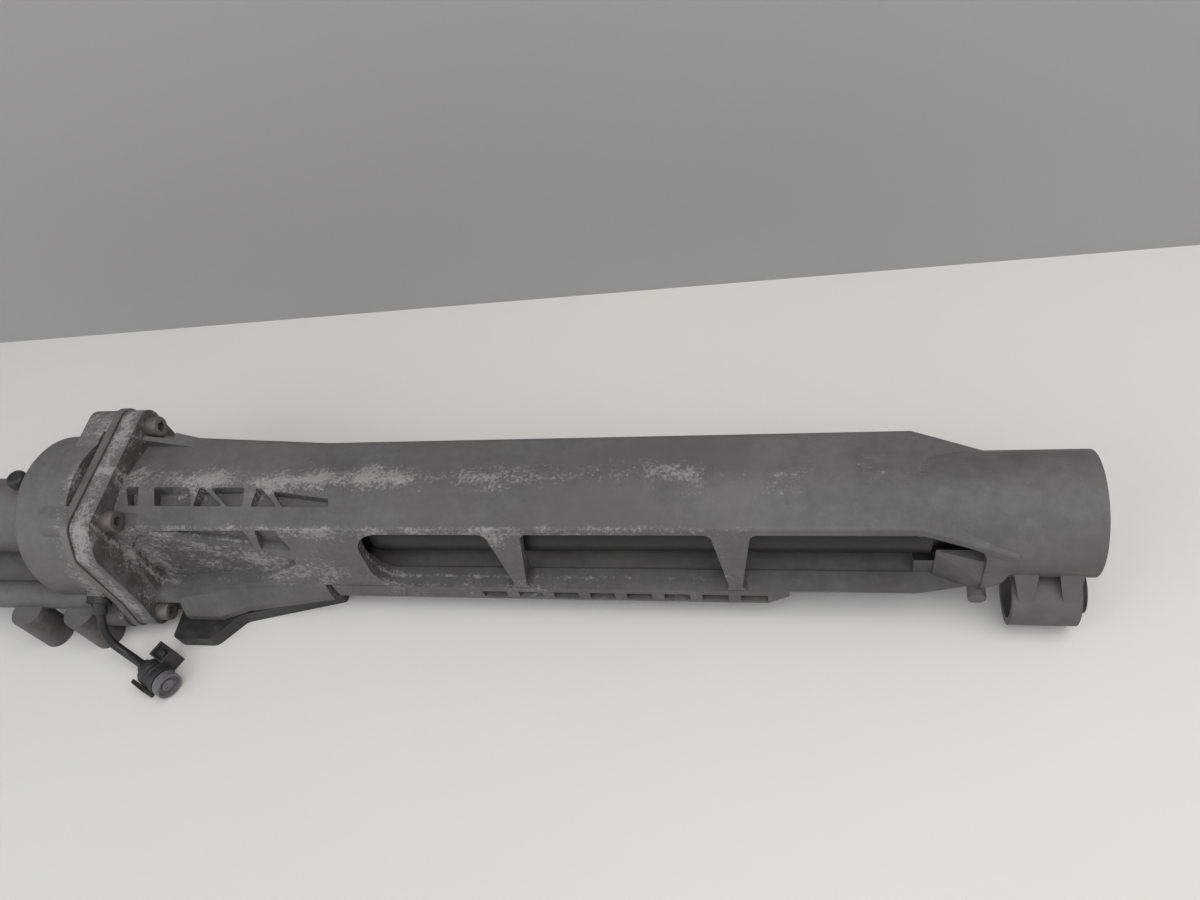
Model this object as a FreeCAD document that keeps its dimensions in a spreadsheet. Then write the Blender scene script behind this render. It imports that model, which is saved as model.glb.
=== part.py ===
"""Drive shaft unit: a tubular shaft in an open cast carrier, with a bolted clutch housing.

Frame: X runs along the shaft, +X out of the output socket; Y points to the back; Z is up.
The origin is the centre of the output socket's mouth.  Millimetres and degrees.
"""
import FreeCAD, Part
import Sketcher
import math
import os

from types import SimpleNamespace

from FreeCAD import Placement, Rotation, Vector

os.makedirs("parts", exist_ok=True)
doc = FreeCAD.newDocument("drive_shaft_unit")
sheet = doc.addObject("Spreadsheet::Sheet", "Sizes")


class Dim:
    """A size with its value and the sheet expression that gives it."""

    def __init__(self, value, text):
        self.value = float(value)
        self.text = text

    def join(self, other, sign, value, flip=False):
        other = other if isinstance(other, Dim) else Dim(other, repr(float(other)))
        left, right = (other, self) if flip else (self, other)
        return Dim(value(left.value, right.value), f"({left.text} {sign} {right.text})")

    def __add__(self, other):
        return self.join(other, "+", lambda a, b: a + b)

    def __radd__(self, other):
        return self.join(other, "+", lambda a, b: a + b, True)

    def __sub__(self, other):
        return self.join(other, "-", lambda a, b: a - b)

    def __rsub__(self, other):
        return self.join(other, "-", lambda a, b: a - b, True)

    def __mul__(self, other):
        return self.join(other, "*", lambda a, b: a * b)

    def __rmul__(self, other):
        return self.join(other, "*", lambda a, b: a * b, True)

    def __truediv__(self, other):
        return self.join(other, "/", lambda a, b: a / b)

    def __rtruediv__(self, other):
        return self.join(other, "/", lambda a, b: a / b, True)

    def __neg__(self):
        return 0 - self


SIZES = [
    # carrier casting, stations along the shaft measured from the socket mouth
    ("rim_overhang", 12), ("bevel_end", 28), ("bevel_length", 48), ("open_length", 322),
    ("web_length", 22), ("bay_length", 123), ("flange_length", 13),
    ("plate_length", 5), ("gasket_length", 0.8),
    # carrier section, seen along the shaft
    ("crest_y", 1), ("crest_z", 34.5), ("back_y", 39), ("back_z", 25), ("floor_z", 31),
    ("floor_corner", 5), ("sill_y", 35), ("ledge_y", 27.5), ("ledge_z", 29.5),
    ("wall", 4.5), ("crest_radius", 22), ("ledge_radius", 2), ("floor_radius", 3), ("back_radius", 7),
    ("trough_crest_radius", 18), ("trough_lip_radius", 1), ("trough_radius", 4), ("flange_rise", 3), ("flange_spread", 7), ("flange_sill_y", 46),
    ("bevel_crest_z", 23), ("bevel_half", 26), ("bevel_low", 24), ("bevel_front_y", 33),
    ("bevel_front_z", 11),
    # openings in the front wall, the left end counted from the bay's web
    ("window_top_z", 24.5), ("window_sill_z", 26), ("window_left_x", 10), ("window_right_x", 43),
    ("strut_left_x", 296.5), ("strut_right_x", 171), ("strut_top", 21), ("strut_foot", 6),
    ("window_corner", 5), ("window_end", 17), ("window_drop", 11.5), ("shaft_gap", 1.4),
    # lower rails and pockets
    ("rail_depth", 9), ("rail_width", 8), ("rail_right_x", 142), ("rail_ramp", 12),
    ("rail_pocket", 15), ("rail_pocket_pitch", 22), ("rail_pocket_depth", 4),
    ("rail_pocket_count", 8),
    # truss pockets in the bay's roof, between a back and a front line
    ("truss_depth", 6.5), ("truss_back", 2), ("truss_front", 14), ("truss_corner", 1),
    # scoop in the bay's front wall, with two small pockets above its rib, and the skirt below it;
    # the skirt's and lug's ends are counted from the joint plane
    ("scoop_y", 28.3), ("scoop_pocket_y", 25.3), ("scoop_pocket_z", 28.4),
    ("skirt_y", 51), ("skirt_z", 46), ("skirt_end_x", 56), ("skirt_step_x", 72),
    ("skirt_step_y", 44.5), ("skirt_tail_y", 37), ("skirt_tail_z", 42), ("skirt_inner_y", 32),
    ("skirt_ledge", 0.6), ("lug_end_x", 59), ("lug_width", 6), ("sink", 2),
    # end web, trimmed lobe and nub at the right window's end
    ("end_web_left_x", 66), ("end_web_right_x", 40), ("end_web_foot_y", 33.4), ("end_web_foot_z", 19),
    ("end_web_top_y", 30), ("end_web_inset", 3.7), ("end_web_lip", 0.3), ("end_web_lean", 0.8),
    ("end_web_over", 1), ("nub_x", 44), ("nub_z", 28.5), ("nub_od", 9.5), ("nub_y", 36),
    # tube, bearings and seals on the shaft line
    ("bearing_tube_od", 66.5), ("bearing_bore", 35), ("bearing_od", 55), ("bearing_width", 10),
    ("bearing_race", 3), ("seal_width", 8), ("seal_wall", 2),
    ("seal_inset", 3), ("clip_groove", 1.6), ("clip_thick", 1.5), ("clip_depth", 2),
    ("clip_angle", 330), ("bearing_inset", 17),
    # drive shaft: its tube's left end from the bay's web, its dog teeth from the joint plane
    ("shaft_tube_od", 42.5), ("shaft_neck_od", 37), ("shaft_right_x", 68), ("shaft_left_x", 9),
    ("shaft_taper", 4), ("socket_bore", 24), ("socket_depth", 34),
    ("tube_bore", 34), ("dog_od", 37), ("dog_root", 32), ("dog_right_x", 86), ("dog_length", 14),
    ("dog_count", 16), ("pilot_od", 15), ("pilot_length", 18),
    # stub shaft, clutch sleeve and shift fork; the stub ends past the spigot
    ("clutch_gap", 3), ("stub_spline_length", 44), ("stub_od", 30), ("hub_od", 48),
    ("hub_length", 6), ("stub_end_x", 27), ("stub_end_od", 26), ("stub_end_length", 24),
    ("stub_chamfer", 1.5),
    ("sleeve_od", 46), ("sleeve_length", 30), ("sleeve_right_x", 82), ("sleeve_travel", 12),
    ("groove_width", 8), ("groove_depth", 3), ("tooth_gap", 0.25), ("tooth_width", 3),
    ("tooth_sink", 0.5), ("bay_bore", 50),
    ("fork_thick", 7.4), ("fork_gap", 0.3), ("fork_play", 1.5), ("fork_wall", 1.75), ("fork_floor", 2.8),
    ("screw_od", 8),    ("screw_drop", 46.5), ("rail_od", 7), ("rail_offset", 13),
    # actuator below the carrier, its ends counted from the joint plane
    ("pad_z", 38), ("table_z", 57.5), ("actuator_left_x", 23), ("actuator_right_x", 132),
    ("actuator_half", 30), ("actuator_front", 64), ("actuator_shelf_z", 46.7), ("actuator_wall", 2.8),
    ("actuator_corner_x", 50), ("actuator_step_x", 66), ("actuator_step_y", 47),
    ("actuator_radius", 2), ("actuator_nose_radius", 3), ("actuator_bend_radius", 8),
    ("motor_od", 15.4), ("motor_length", 20), ("screw_head_od", 8.5), ("screw_head", 4),
    ("actuator_screw_od", 5), ("screw_grip", 8), ("screw_hole_depth", 12), ("thread_gap", 0.2),
    ("board_thick", 1.6),
    # joint flange and its bolts
    ("bolt_od", 8), ("bolt_head_od", 13), ("bolt_head", 8), ("bolt_boss", 11), ("bolt_reach", 14),
    ("head_room", 10),
    ("bolt_back_y", 44.5), ("bolt_front_y", 26), ("bolt_top_z", 36), ("bolt_low_y", 48),
    ("bolt_low_z", 39), ("bolt_back_low_y", 44), ("plate_lip", 1), ("flange_shoulder_y", 50),
    ("flange_shoulder_z", 30),
    ("dowel_od", 6), ("dowel_length", 16), ("dowel_in", 4), ("dowel_drop", 5), ("fit_gap", 0.05), ("hole_gap", 0.4),
    # clutch housing; what lies along it is counted from the joint plane
    ("bell_od", 104), ("bell_length", 41.4), ("bell_cavity", 70), ("bell_floor", 6),
    ("bell_flange", 18), ("bell_relief", 2.4), ("bell_shoulder", 6), ("bell_round", 4),
    ("bell_ear_z", 27.3), ("bell_ear_rise", 7.7), ("neck_od", 66), ("spigot_od", 50),
    ("spigot_bore", 40), ("spigot_end_x", 169), ("neck_length", 16), ("register_od", 48),
    ("register_length", 22), ("web_thick", 6),
    ("tone_od", 62), ("tone_width", 7), ("tone_teeth", 32), ("tone_slot", 3),
    # gallery and feet under the clutch housing
    ("gallery_od", 18), ("gallery_y", 46), ("gallery_z", 24), ("gallery_left_x", 134),
    ("foot_od", 21), ("foot_left_x", 74), ("foot_right_x", 34), ("foot_front_y", 58),
    ("foot_back_x", 34), ("foot_back_y", 38), ("foot_hole", 6.8), ("foot_hole_depth", 14),
    # suspension eye
    ("eye_od", 38), ("eye_y", 25), ("eye_bore", 30), ("eye_left_x", 27), ("eye_right_x", 7),
    ("gusset_top", 12), ("gusset_foot", 3), ("gusset_z", 8), ("gusset_root", 5),
    ("gusset_sink", 0.2), ("bush_wall", 1.5), ("bush_inner_od", 16),
    ("bush_hole", 10.2), ("bush_inset", 7), ("bush_proud", 5), ("bush_collar", 4),
    ("bush_collar_od", 24),
    # sensor and its lead
    ("sensor_od", 10), ("sensor_head", 4), ("sensor_x", 15.5), ("sensor_angle", 17),
    ("sensor_boss", 2), ("sensor_boss_wall", 3), ("sensor_flange", 2.5),
    ("drill_over", 10), ("outlet_angle", 40), ("outlet_length", 8),
    ("sensor_air", 1), ("lead_od", 5.5), ("connector_x", 9), ("connector_y", 83), ("connector_turn", 28),
    ("connector_od", 18), ("connector_length", 28), ("connector_ring", 7), ("latch_width", 9),
    ("latch_height", 15), ("latch_length", 13), ("latch_inset", 2), ("latch_start", 1),
    ("hook_gap", 0.3), ("hook_reach", 3), ("hook_height", 11), ("fit_neck", 4), ("neck_wall", 2.5),
    # vent cap, its foot slimmer than the lid
    ("vent_x", 69), ("vent_y", 6), ("vent_od", 13), ("vent_step", 2.5), ("vent_root", 4), ("vent_height", 10),
]

# places counted from the joint plane: beyond it, towards the stub, and before it
BEYOND_JOINT = ["spigot_end_x", "gallery_left_x", "foot_left_x", "foot_right_x", "foot_back_x",
                "sensor_x", "vent_x"]
BEFORE_JOINT = ["skirt_end_x", "skirt_step_x", "lug_end_x", "dog_right_x", "sleeve_right_x",
                "actuator_left_x", "actuator_right_x", "actuator_corner_x", "actuator_step_x",
                "connector_x"]

# roof pockets: X of the corners back left, back right, front right and front left, from the joint
TRUSS = {
    "first": (16.5, 25.5, 28, 22), "rounded": (36, 60, 65, 40), "sharp": (67, 70, 86, 66),
    "wide": (74, 97, 98.5, 88.5), "short": (105, 108, 121.5, 104),
}
for pocket, corners in TRUSS.items():
    for place, number in zip(("back_left", "back_right", "front_right", "front_left"), corners):
        SIZES.append((f"{pocket}_{place}_x", number))
        BEFORE_JOINT.append(f"{pocket}_{place}_x")
# the last roof pocket, a long taper: gaps to its neighbour and to the web, and its slants
SIZES += [("taper_gap", 3), ("taper_end", 4), ("taper_lean", 1), ("taper_rise", 5), ("taper_reach", 6),
          ("taper_drop", 2)]

# outlines in the front view as (X, Z, corner radius) steps from a starting point: the lobe trim
# from the socket mouth, the scoop from the bay's face, its pockets from the face and their top
OUTLINES = {
    "lobe": [(-27, 6, 0), (-33, -15, 0), (-39, -21, 0), (-44, -38, 0), (-27, -38, 0)],
    "scoop": [(17, 26, 4), (6, 15, 12), (3, -2, 10), (4, -24, 6), (14, -29, 8), (31, -25.5, 6),
              (86, -18, 8), (114, -1, 4), (88, 11.5, 6)],
    "long_pocket": [(24, 0, 0.5), (89, -15.1, 1.5), (89, 0, 1.5)],
    "small_pocket": [(96, 0, 1.5), (93, -16.9, 1.5), (112, -19.4, 1.5), (109, 0, 1.5)],
}
for outline, corners in OUTLINES.items():
    for number, corner in enumerate(corners):
        SIZES += [(f"{outline}_{number}_{part}", value) for part, value in zip("xzr", corner)]

size = {}
for row, (name, number) in enumerate(SIZES, start=1):
    sheet.set(f"A{row}", name)
    sheet.set(f"B{row}", str(number))
    sheet.setAlias(f"B{row}", name)
    size[name] = Dim(number, f"Sizes.{name}")
doc.recompute()

s = SimpleNamespace(**size)

# stations along the shaft, each from the one before it
x_bevel_end = -s.bevel_end
x_bevel = x_bevel_end - s.bevel_length
x_web_right = x_bevel - s.open_length
x_web_left = x_web_right - s.web_length
x_face = x_web_left - s.bay_length
x_joint = x_face - s.flange_length
x_plate = x_joint - s.gasket_length
x_plate_left = x_plate - s.plate_length
x_bell = x_plate_left - s.gasket_length
x_bell_end = x_bell - s.bell_length
x_neck_end = x_bell_end - s.neck_length
for place in BEYOND_JOINT:
    setattr(s, place, getattr(s, place) - x_joint)
for place in BEFORE_JOINT:
    setattr(s, place, -x_joint - getattr(s, place))
s.window_left_x = -x_web_right - s.window_left_x
s.shaft_left_x = -x_web_right - s.shaft_left_x
s.stub_end_x = s.spigot_end_x + s.stub_end_x
x_spigot = -s.spigot_end_x
eye_z = -(s.table_z - s.eye_od / 2)
bore_y = s.shaft_tube_od / 2 + s.shaft_gap

# (Y, Z) of the four flange bolts: back top, front top, front low, back low
BOLTS = [
    (s.bolt_back_y, s.bolt_top_z),
    (-s.bolt_front_y, s.bolt_top_z),
    (-s.bolt_low_y, -s.bolt_low_z),
    (s.bolt_back_low_y, -s.bolt_low_z),
]
DOWELS = [(s.bolt_back_y + s.dowel_in, 0), (-s.bolt_low_y + s.dowel_in, -s.dowel_drop)]
FEET = [(-s.foot_left_x, -s.foot_front_y), (-s.foot_right_x, -s.foot_front_y),
        (-s.foot_back_x, s.foot_back_y)]
fork_side = s.rail_offset + s.rail_od / 2 + s.fork_wall
bodies = []


def as_dim(value):
    return value if isinstance(value, Dim) else Dim(value, repr(float(value)))


def sine(angle):
    return Dim(math.sin(math.radians(angle.value)), f"sin({angle.text})")


def cosine(angle):
    return Dim(math.cos(math.radians(angle.value)), f"cos({angle.text})")


def new_body(label, compound=False):
    body = doc.addObject("PartDesign::Body", label)
    body.Label = label
    body.AllowCompound = compound
    bodies.append(body)
    return body


def add_sketch(body, name, role, out=0, right=0, up=0, spin=0, tilt=0, lift=0):
    """A sketch on one of the body's own planes, moved out along its normal and within it.

    spin turns it in its own plane.  tilt turns it about the plane's first axis, and lift then
    moves it along its tilted normal.
    """
    plane = next(item for item in body.Origin.OriginFeatures if item.Role == role)
    sketch = body.newObject("Sketcher::SketchObject", name)
    sketch.AttachmentSupport = (plane, "")
    sketch.MapMode = "FlatFace"
    spin, tilt, lift = as_dim(spin), as_dim(tilt), as_dim(lift)
    moves = {"x": as_dim(right), "y": up - lift * sine(tilt), "z": out + lift * cosine(tilt)}
    turned = spin if tilt.value == 0 else tilt
    axis = Vector(0, 0, 1) if tilt.value == 0 else Vector(1, 0, 0)
    base = Vector(*(as_dim(moves[name]).value for name in "xyz"))
    sketch.AttachmentOffset = Placement(base, Rotation(axis, turned.value))
    for direction, move in moves.items():
        sketch.setExpression(f".AttachmentOffset.Base.{direction}", as_dim(move).text)
    sketch.setExpression(".AttachmentOffset.Rotation.Angle", turned.text)
    return sketch


def bind(sketch, kind, *geometry, size_of):
    """A dimension of the sketch that follows the sheet."""
    size_of = as_dim(size_of)
    index = sketch.addConstraint(Sketcher.Constraint(kind, *geometry, size_of.value))
    sketch.setExpression(f"Constraints[{index}]", size_of.text)


def fix_point(sketch, geometry, position, point):
    bind(sketch, "DistanceX", -1, 1, geometry, position, size_of=point[0])
    bind(sketch, "DistanceY", -1, 1, geometry, position, size_of=point[1])


def vector(point):
    return Vector(as_dim(point[0]).value, as_dim(point[1]).value, 0)


def polygon(sketch, points):
    """A closed outline of straight lines through the points."""
    corners = [vector(point) for point in points]
    first = sketch.GeometryCount
    count = len(points)
    for index, corner in enumerate(corners):
        sketch.addGeometry(Part.LineSegment(corner, corners[(index + 1) % count]), False)
    for index, point in enumerate(points):
        following = first + (index + 1) % count
        sketch.addConstraint(Sketcher.Constraint("Coincident", first + index, 2, following, 1))
        fix_point(sketch, first + index, 1, point)


def rounded(sketch, points, radii):
    """A closed outline whose corners at the points are rounded by arcs of the radii."""
    corners = [vector(point) for point in points]
    count = len(points)
    radii = [as_dim(radius) for radius in radii]
    starts, ends, centres = [], [], []
    for index, corner in enumerate(corners):
        back = (corners[index - 1] - corner).normalize()
        ahead = (corners[(index + 1) % count] - corner).normalize()
        half = back.getAngle(ahead) / 2
        reach = radii[index].value / math.tan(half)
        starts.append(corner + back * reach)
        ends.append(corner + ahead * reach)
        centres.append(corner + (back + ahead).normalize() * (radii[index].value / math.sin(half)))
    first = sketch.GeometryCount
    for index, corner in enumerate(corners):
        sketch.addGeometry(Part.LineSegment(ends[index], starts[(index + 1) % count]), False)
    arcs = []
    for index, corner in enumerate(corners):
        middle = centres[index] + (corner - centres[index]).normalize() * radii[index].value
        arcs.append(sketch.addGeometry(Part.Arc(starts[index], middle, ends[index]), False))
    marks = [sketch.addGeometry(Part.Point(corner), True) for corner in corners]
    for index, point in enumerate(points):
        fix_point(sketch, marks[index], 1, point)
        line_before = first + (index - 1) % count
        line_after = first + index
        turn_left = (corners[index] - corners[index - 1]).cross(
            corners[(index + 1) % count] - corners[index]).z > 0
        enter, leave = (1, 2) if turn_left else (2, 1)
        sketch.addConstraint(Sketcher.Constraint("Tangent", line_before, 2, arcs[index], enter))
        sketch.addConstraint(Sketcher.Constraint("Tangent", arcs[index], leave, line_after, 1))
        sketch.addConstraint(Sketcher.Constraint("PointOnObject", marks[index], 1, line_before))
        sketch.addConstraint(Sketcher.Constraint("PointOnObject", marks[index], 1, line_after))
        bind(sketch, "Radius", arcs[index], size_of=radii[index])


def outline(name, x=0, z=0):
    """The points of a named front view outline from its starting point, and its corner radii."""
    corners = [[getattr(s, f"{name}_{number}_{part}") for part in "xzr"]
               for number in range(len(OUTLINES[name]))]
    return [(x + step_x, z + step_z) for step_x, step_z, _ in corners], [corner[2] for corner in corners]


def circle(sketch, centre, diameter):
    radius = as_dim(diameter).value / 2
    index = sketch.addGeometry(Part.Circle(vector(centre), Vector(0, 0, 1), radius), False)
    fix_point(sketch, index, 3, centre)
    bind(sketch, "Diameter", index, size_of=diameter)


def extrude(body, kind, sketch, length, reverse=False):
    """A Pad along the sketch's normal, or a Pocket against it; reverse turns it round."""
    feature = body.newObject(f"PartDesign::{kind}", f"{sketch.Name}_{kind.lower()}")
    feature.Profile = sketch
    feature.Type = "Length"
    feature.Length = as_dim(length).value
    feature.setExpression("Length", as_dim(length).text)
    feature.Reversed = reverse
    sketch.Visibility = False
    return feature


def turn(body, kind, name, points, axis_y=0, axis_z=0):
    """A Revolution or Groove of an (X, radius) outline about an axis along X."""
    sketch = add_sketch(body, name, "XZ_Plane", out=-as_dim(axis_y), up=axis_z)
    polygon(sketch, points)
    feature = body.newObject(f"PartDesign::{kind}", f"{name}_turned")
    feature.Profile = sketch
    feature.ReferenceAxis = (sketch, ["H_Axis"])
    feature.Angle = 360
    sketch.Visibility = False
    return feature


def loft(body, first, second):
    feature = body.newObject("PartDesign::AdditiveLoft", f"{first.Name}_loft")
    feature.Profile = first
    feature.Sections = [second]
    feature.Ruled = True
    return feature


def tube_outline(x_left, x_right, inner, outer):
    """The (X, radius) outline of a ring between two diameters."""
    return [(x_left, inner / 2), (x_right, inner / 2), (x_right, outer / 2), (x_left, outer / 2)]


def rod_outline(steps):
    """The outline of a solid turned piece from (x_left, x_right, diameter) steps, left to right."""
    points = [(steps[0][0], 0)]
    for x_left, x_right, diameter in steps:
        points += [(x_left, diameter / 2), (x_right, diameter / 2)]
    return points + [(steps[-1][1], 0)]



def carrier_section(body, name, x, points, radii):
    sketch = add_sketch(body, name, "YZ_Plane", out=x)
    rounded(sketch, points, radii)
    return sketch


def middle_points(inset=0):
    """The carrier's open length in section, or its hollow when inset by the wall."""
    return [
        (s.crest_y, s.crest_z - inset),
        (-s.ledge_y, s.ledge_z - inset),
        (-s.sill_y, -(s.floor_z - s.floor_corner)),
        (-(s.sill_y - s.floor_corner), -s.floor_z),
        (s.back_y - s.floor_corner, -s.floor_z),
        (s.back_y, -(s.floor_z - s.floor_corner)),
        (s.back_y, s.back_z),
    ]


SECTION_RADII = [s.crest_radius, s.ledge_radius, *[s.floor_radius] * 4, s.back_radius]


def build_carrier():
    """The cast carrier: flange, closed clutch bay, open length with windows, bearing tube, eye."""
    body = new_body("carrier_housing")
    flange_end = carrier_section(body, "bay_section", x_joint, [
        (s.crest_y, s.crest_z + s.flange_rise),
        (-s.ledge_y, s.ledge_z + s.flange_rise),
        (-s.flange_sill_y, -s.floor_z),
        (-(s.flange_sill_y - s.floor_corner), -(s.floor_z + s.floor_corner)),
        (s.back_y + s.flange_spread - s.floor_corner, -(s.floor_z + s.floor_corner)),
        (s.back_y + s.flange_spread, -s.floor_z),
        (s.back_y + s.flange_spread, s.back_z + s.flange_rise),
    ], SECTION_RADII)
    bay_end = carrier_section(body, "bay_end_section", x_web_left, middle_points(), SECTION_RADII)
    loft(body, flange_end, bay_end)
    middle = carrier_section(body, "open_section", x_web_left, middle_points(), SECTION_RADII)
    extrude(body, "Pad", middle, x_bevel - x_web_left)
    bevel = carrier_section(body, "bevel_section", x_bevel, middle_points(), SECTION_RADII)
    bevel_tip = carrier_section(body, "bevel_tip_section", x_bevel_end, [
        (s.crest_y, s.bevel_crest_z),
        (-s.bevel_front_y, s.bevel_front_z),
        (-s.bevel_front_y, -(s.bevel_low - s.floor_corner)),
        (-(s.bevel_front_y - s.floor_corner), -s.bevel_low),
        (s.bevel_half - s.floor_corner, -s.bevel_low),
        (s.bevel_half, -(s.bevel_low - s.floor_corner)),
        (s.bevel_half, s.bevel_crest_z - s.floor_corner),
    ], SECTION_RADII)
    loft(body, bevel, bevel_tip)

    lobe = add_sketch(body, "lobe_trim", "XZ_Plane")
    polygon(lobe, outline("lobe")[0])
    extrude(body, "Pocket", lobe, s.bevel_front_y + s.floor_corner, reverse=True)

    tube = add_sketch(body, "bearing_tube", "YZ_Plane", out=x_bevel)
    circle(tube, (0, 0), s.bearing_tube_od)
    extrude(body, "Pad", tube, s.rim_overhang - x_bevel)

    flange = add_sketch(body, "joint_flange", "YZ_Plane", out=x_joint)
    rounded(flange, *flange_outline())
    extrude(body, "Pad", flange, s.flange_length)

    build_rails(body)
    build_skirt(body)
    build_eye(body)
    pad_base = add_sketch(body, "actuator_pad", "YZ_Plane", out=-s.actuator_left_x)
    polygon(pad_base, [
        (-s.actuator_half, -s.pad_z), (s.actuator_half, -s.pad_z),
        (s.actuator_half, -s.back_z), (-s.actuator_half, -s.back_z),
    ])
    extrude(body, "Pad", pad_base, s.actuator_left_x - s.actuator_right_x)
    cut_hollow(body)
    cut_windows(body)
    build_end_web(body)
    cut_truss(body)
    cut_scoop(body)
    cut_rail(body)
    cut_bolt_seats(body)


def flange_outline(clearance=0):
    """The joint flange's outline round its four bolt bosses, and its corner radii."""
    boss = s.bolt_boss + clearance
    points = [
        (s.bolt_back_y + boss, s.bolt_top_z + boss),
        (-s.bolt_front_y - boss, s.bolt_top_z + boss),
        (-s.flange_shoulder_y - clearance, s.flange_shoulder_z),
        (-s.bolt_low_y - boss / 2, -s.bolt_low_z / 2),
        (-s.bolt_low_y - boss, -s.bolt_low_z - boss),
        (s.bolt_back_low_y + boss, -s.bolt_low_z - boss),
    ]
    return points, [s.bolt_boss, s.bolt_boss, s.bolt_boss, s.bolt_boss, s.bolt_boss, s.bolt_boss]


def build_rails(body):
    """Two lower rails along the open length, each ending in a ramp up to the floor."""
    rail_right = -s.rail_right_x
    root_z = -(s.floor_z - s.floor_corner)
    rail_z = -(s.floor_z + s.rail_depth)
    for name, face_y in (("front_rail", -(s.sill_y - s.rail_width)), ("back_rail", s.back_y)):
        rail = add_sketch(body, name, "XZ_Plane", out=-face_y)
        polygon(rail, [
            (x_web_left, root_z), (x_web_left, rail_z), (rail_right - s.rail_ramp, rail_z),
            (rail_right, -s.floor_z), (rail_right, root_z),
        ])
        extrude(body, "Pad", rail, s.rail_width)


def build_skirt(body):
    """The bay's lower front edge, which runs from the low bolt's boss back into the rail, and
    the lug that backs up the top bolt's boss."""
    inner = -s.skirt_inner_y
    low, tail_low = -s.skirt_z, -s.skirt_tail_z
    step, top = s.floor_corner, -s.bevel_low
    stations = [
        ("skirt_start", x_face - s.sink, -s.skirt_y, low),
        ("skirt_middle", -s.skirt_end_x, -s.skirt_y, low),
        ("skirt_step", -s.skirt_step_x, -s.skirt_step_y, low),
        ("skirt_tail", -s.actuator_right_x, -s.skirt_tail_y, tail_low),
    ]
    for (name, x, front, foot), (end_name, end_x, end_front, end_foot) in zip(stations, stations[1:]):
        sections = []
        for label, place, face, bottom in ((name, x, front, foot), (end_name, end_x, end_front, end_foot)):
            sketch = add_sketch(body, f"{name}_{label}", "YZ_Plane", out=place)
            ledge = inner + (face - inner) * s.skirt_ledge
            polygon(sketch, [(inner, bottom), (face, bottom), (face, bottom + step), (ledge, top),
                             (inner, top)])
            sections.append(sketch)
        loft(body, *sections)

    sections = []
    for name, x, width, rise in (("lug", x_face - s.sink, s.bolt_boss, s.bolt_top_z + s.sink),
                                 ("lug_end", -s.lug_end_x, s.lug_width, s.back_z)):
        sketch = add_sketch(body, name, "YZ_Plane", out=x)
        inner_y = s.back_y - s.lug_width
        foot = s.bevel_low - s.sink
        polygon(sketch, [(inner_y, foot), (inner_y + width, foot),
                         (inner_y + width, rise), (inner_y, rise)])
        sections.append(sketch)
    loft(body, *sections)


def build_end_web(body):
    """The sloping web that closes the right window's lower half towards the bearing tube."""
    inner = -s.bevel_half + s.end_web_inset
    low = -s.window_sill_z - s.end_web_over
    lip = s.end_web_lip
    sections = []
    for name, x, top, foot, foot_z in (
            ("end_web_left", -s.end_web_left_x, inner - lip, inner - s.end_web_lean, -s.sink),
            ("end_web_right", -s.end_web_right_x, -s.end_web_top_y, -s.end_web_foot_y, -s.end_web_foot_z)):
        sketch = add_sketch(body, name, "YZ_Plane", out=x)
        polygon(sketch, [(inner, 0), (top, -lip), (foot, foot_z), (foot, low), (inner, low)])
        sections.append(sketch)
    loft(body, *sections)
    nub = add_sketch(body, "nub", "XZ_Plane", out=s.bevel_half)
    circle(nub, (-s.nub_x, -s.nub_z), s.nub_od)
    extrude(body, "Pad", nub, s.nub_y - s.bevel_half)


def build_eye(body):
    """The suspension eye below the bearing tube, with its web and two gussets."""
    eye = add_sketch(body, "eye", "YZ_Plane", out=-s.eye_left_x)
    circle(eye, (-s.eye_y, eye_z), s.eye_od)
    eye_length = s.eye_left_x + s.eye_right_x
    extrude(body, "Pad", eye, eye_length)
    radius = s.eye_od / 2
    web = add_sketch(body, "eye_web", "YZ_Plane", out=-s.eye_left_x + s.gusset_foot)
    polygon(web, [
        (-s.eye_y + radius * 0.25, -s.bevel_low), (-s.eye_y, eye_z),
        (-s.eye_y + radius * 0.9, eye_z + radius * 0.3),
        (-s.eye_y + radius, -s.bearing_tube_od * 0.46), (0, -s.bearing_tube_od * 0.4),
    ])
    extrude(body, "Pad", web, eye_length - s.gusset_foot * 2)
    tube_face = -s.bearing_tube_od * 0.485
    eye_face = -s.eye_y - radius + s.gusset_sink
    root = -s.eye_y + s.gusset_root
    for name, top_left, foot_left in (
            ("left_gusset", x_bevel_end, -s.eye_left_x + s.gusset_foot * 2),
            ("right_gusset", -s.gusset_top / 2, 0)):
        top = add_sketch(body, name, "XY_Plane", out=-s.gusset_z)
        polygon(top, [(top_left, tube_face), (top_left + s.gusset_top, tube_face),
                      (top_left + s.gusset_top, root), (top_left, root)])
        foot = add_sketch(body, f"{name}_foot", "XY_Plane", out=eye_z)
        polygon(foot, [(foot_left, eye_face), (foot_left + s.gusset_foot, eye_face),
                       (foot_left + s.gusset_foot, -s.eye_y), (foot_left, -s.eye_y)])
        loft(body, top, foot)


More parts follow.
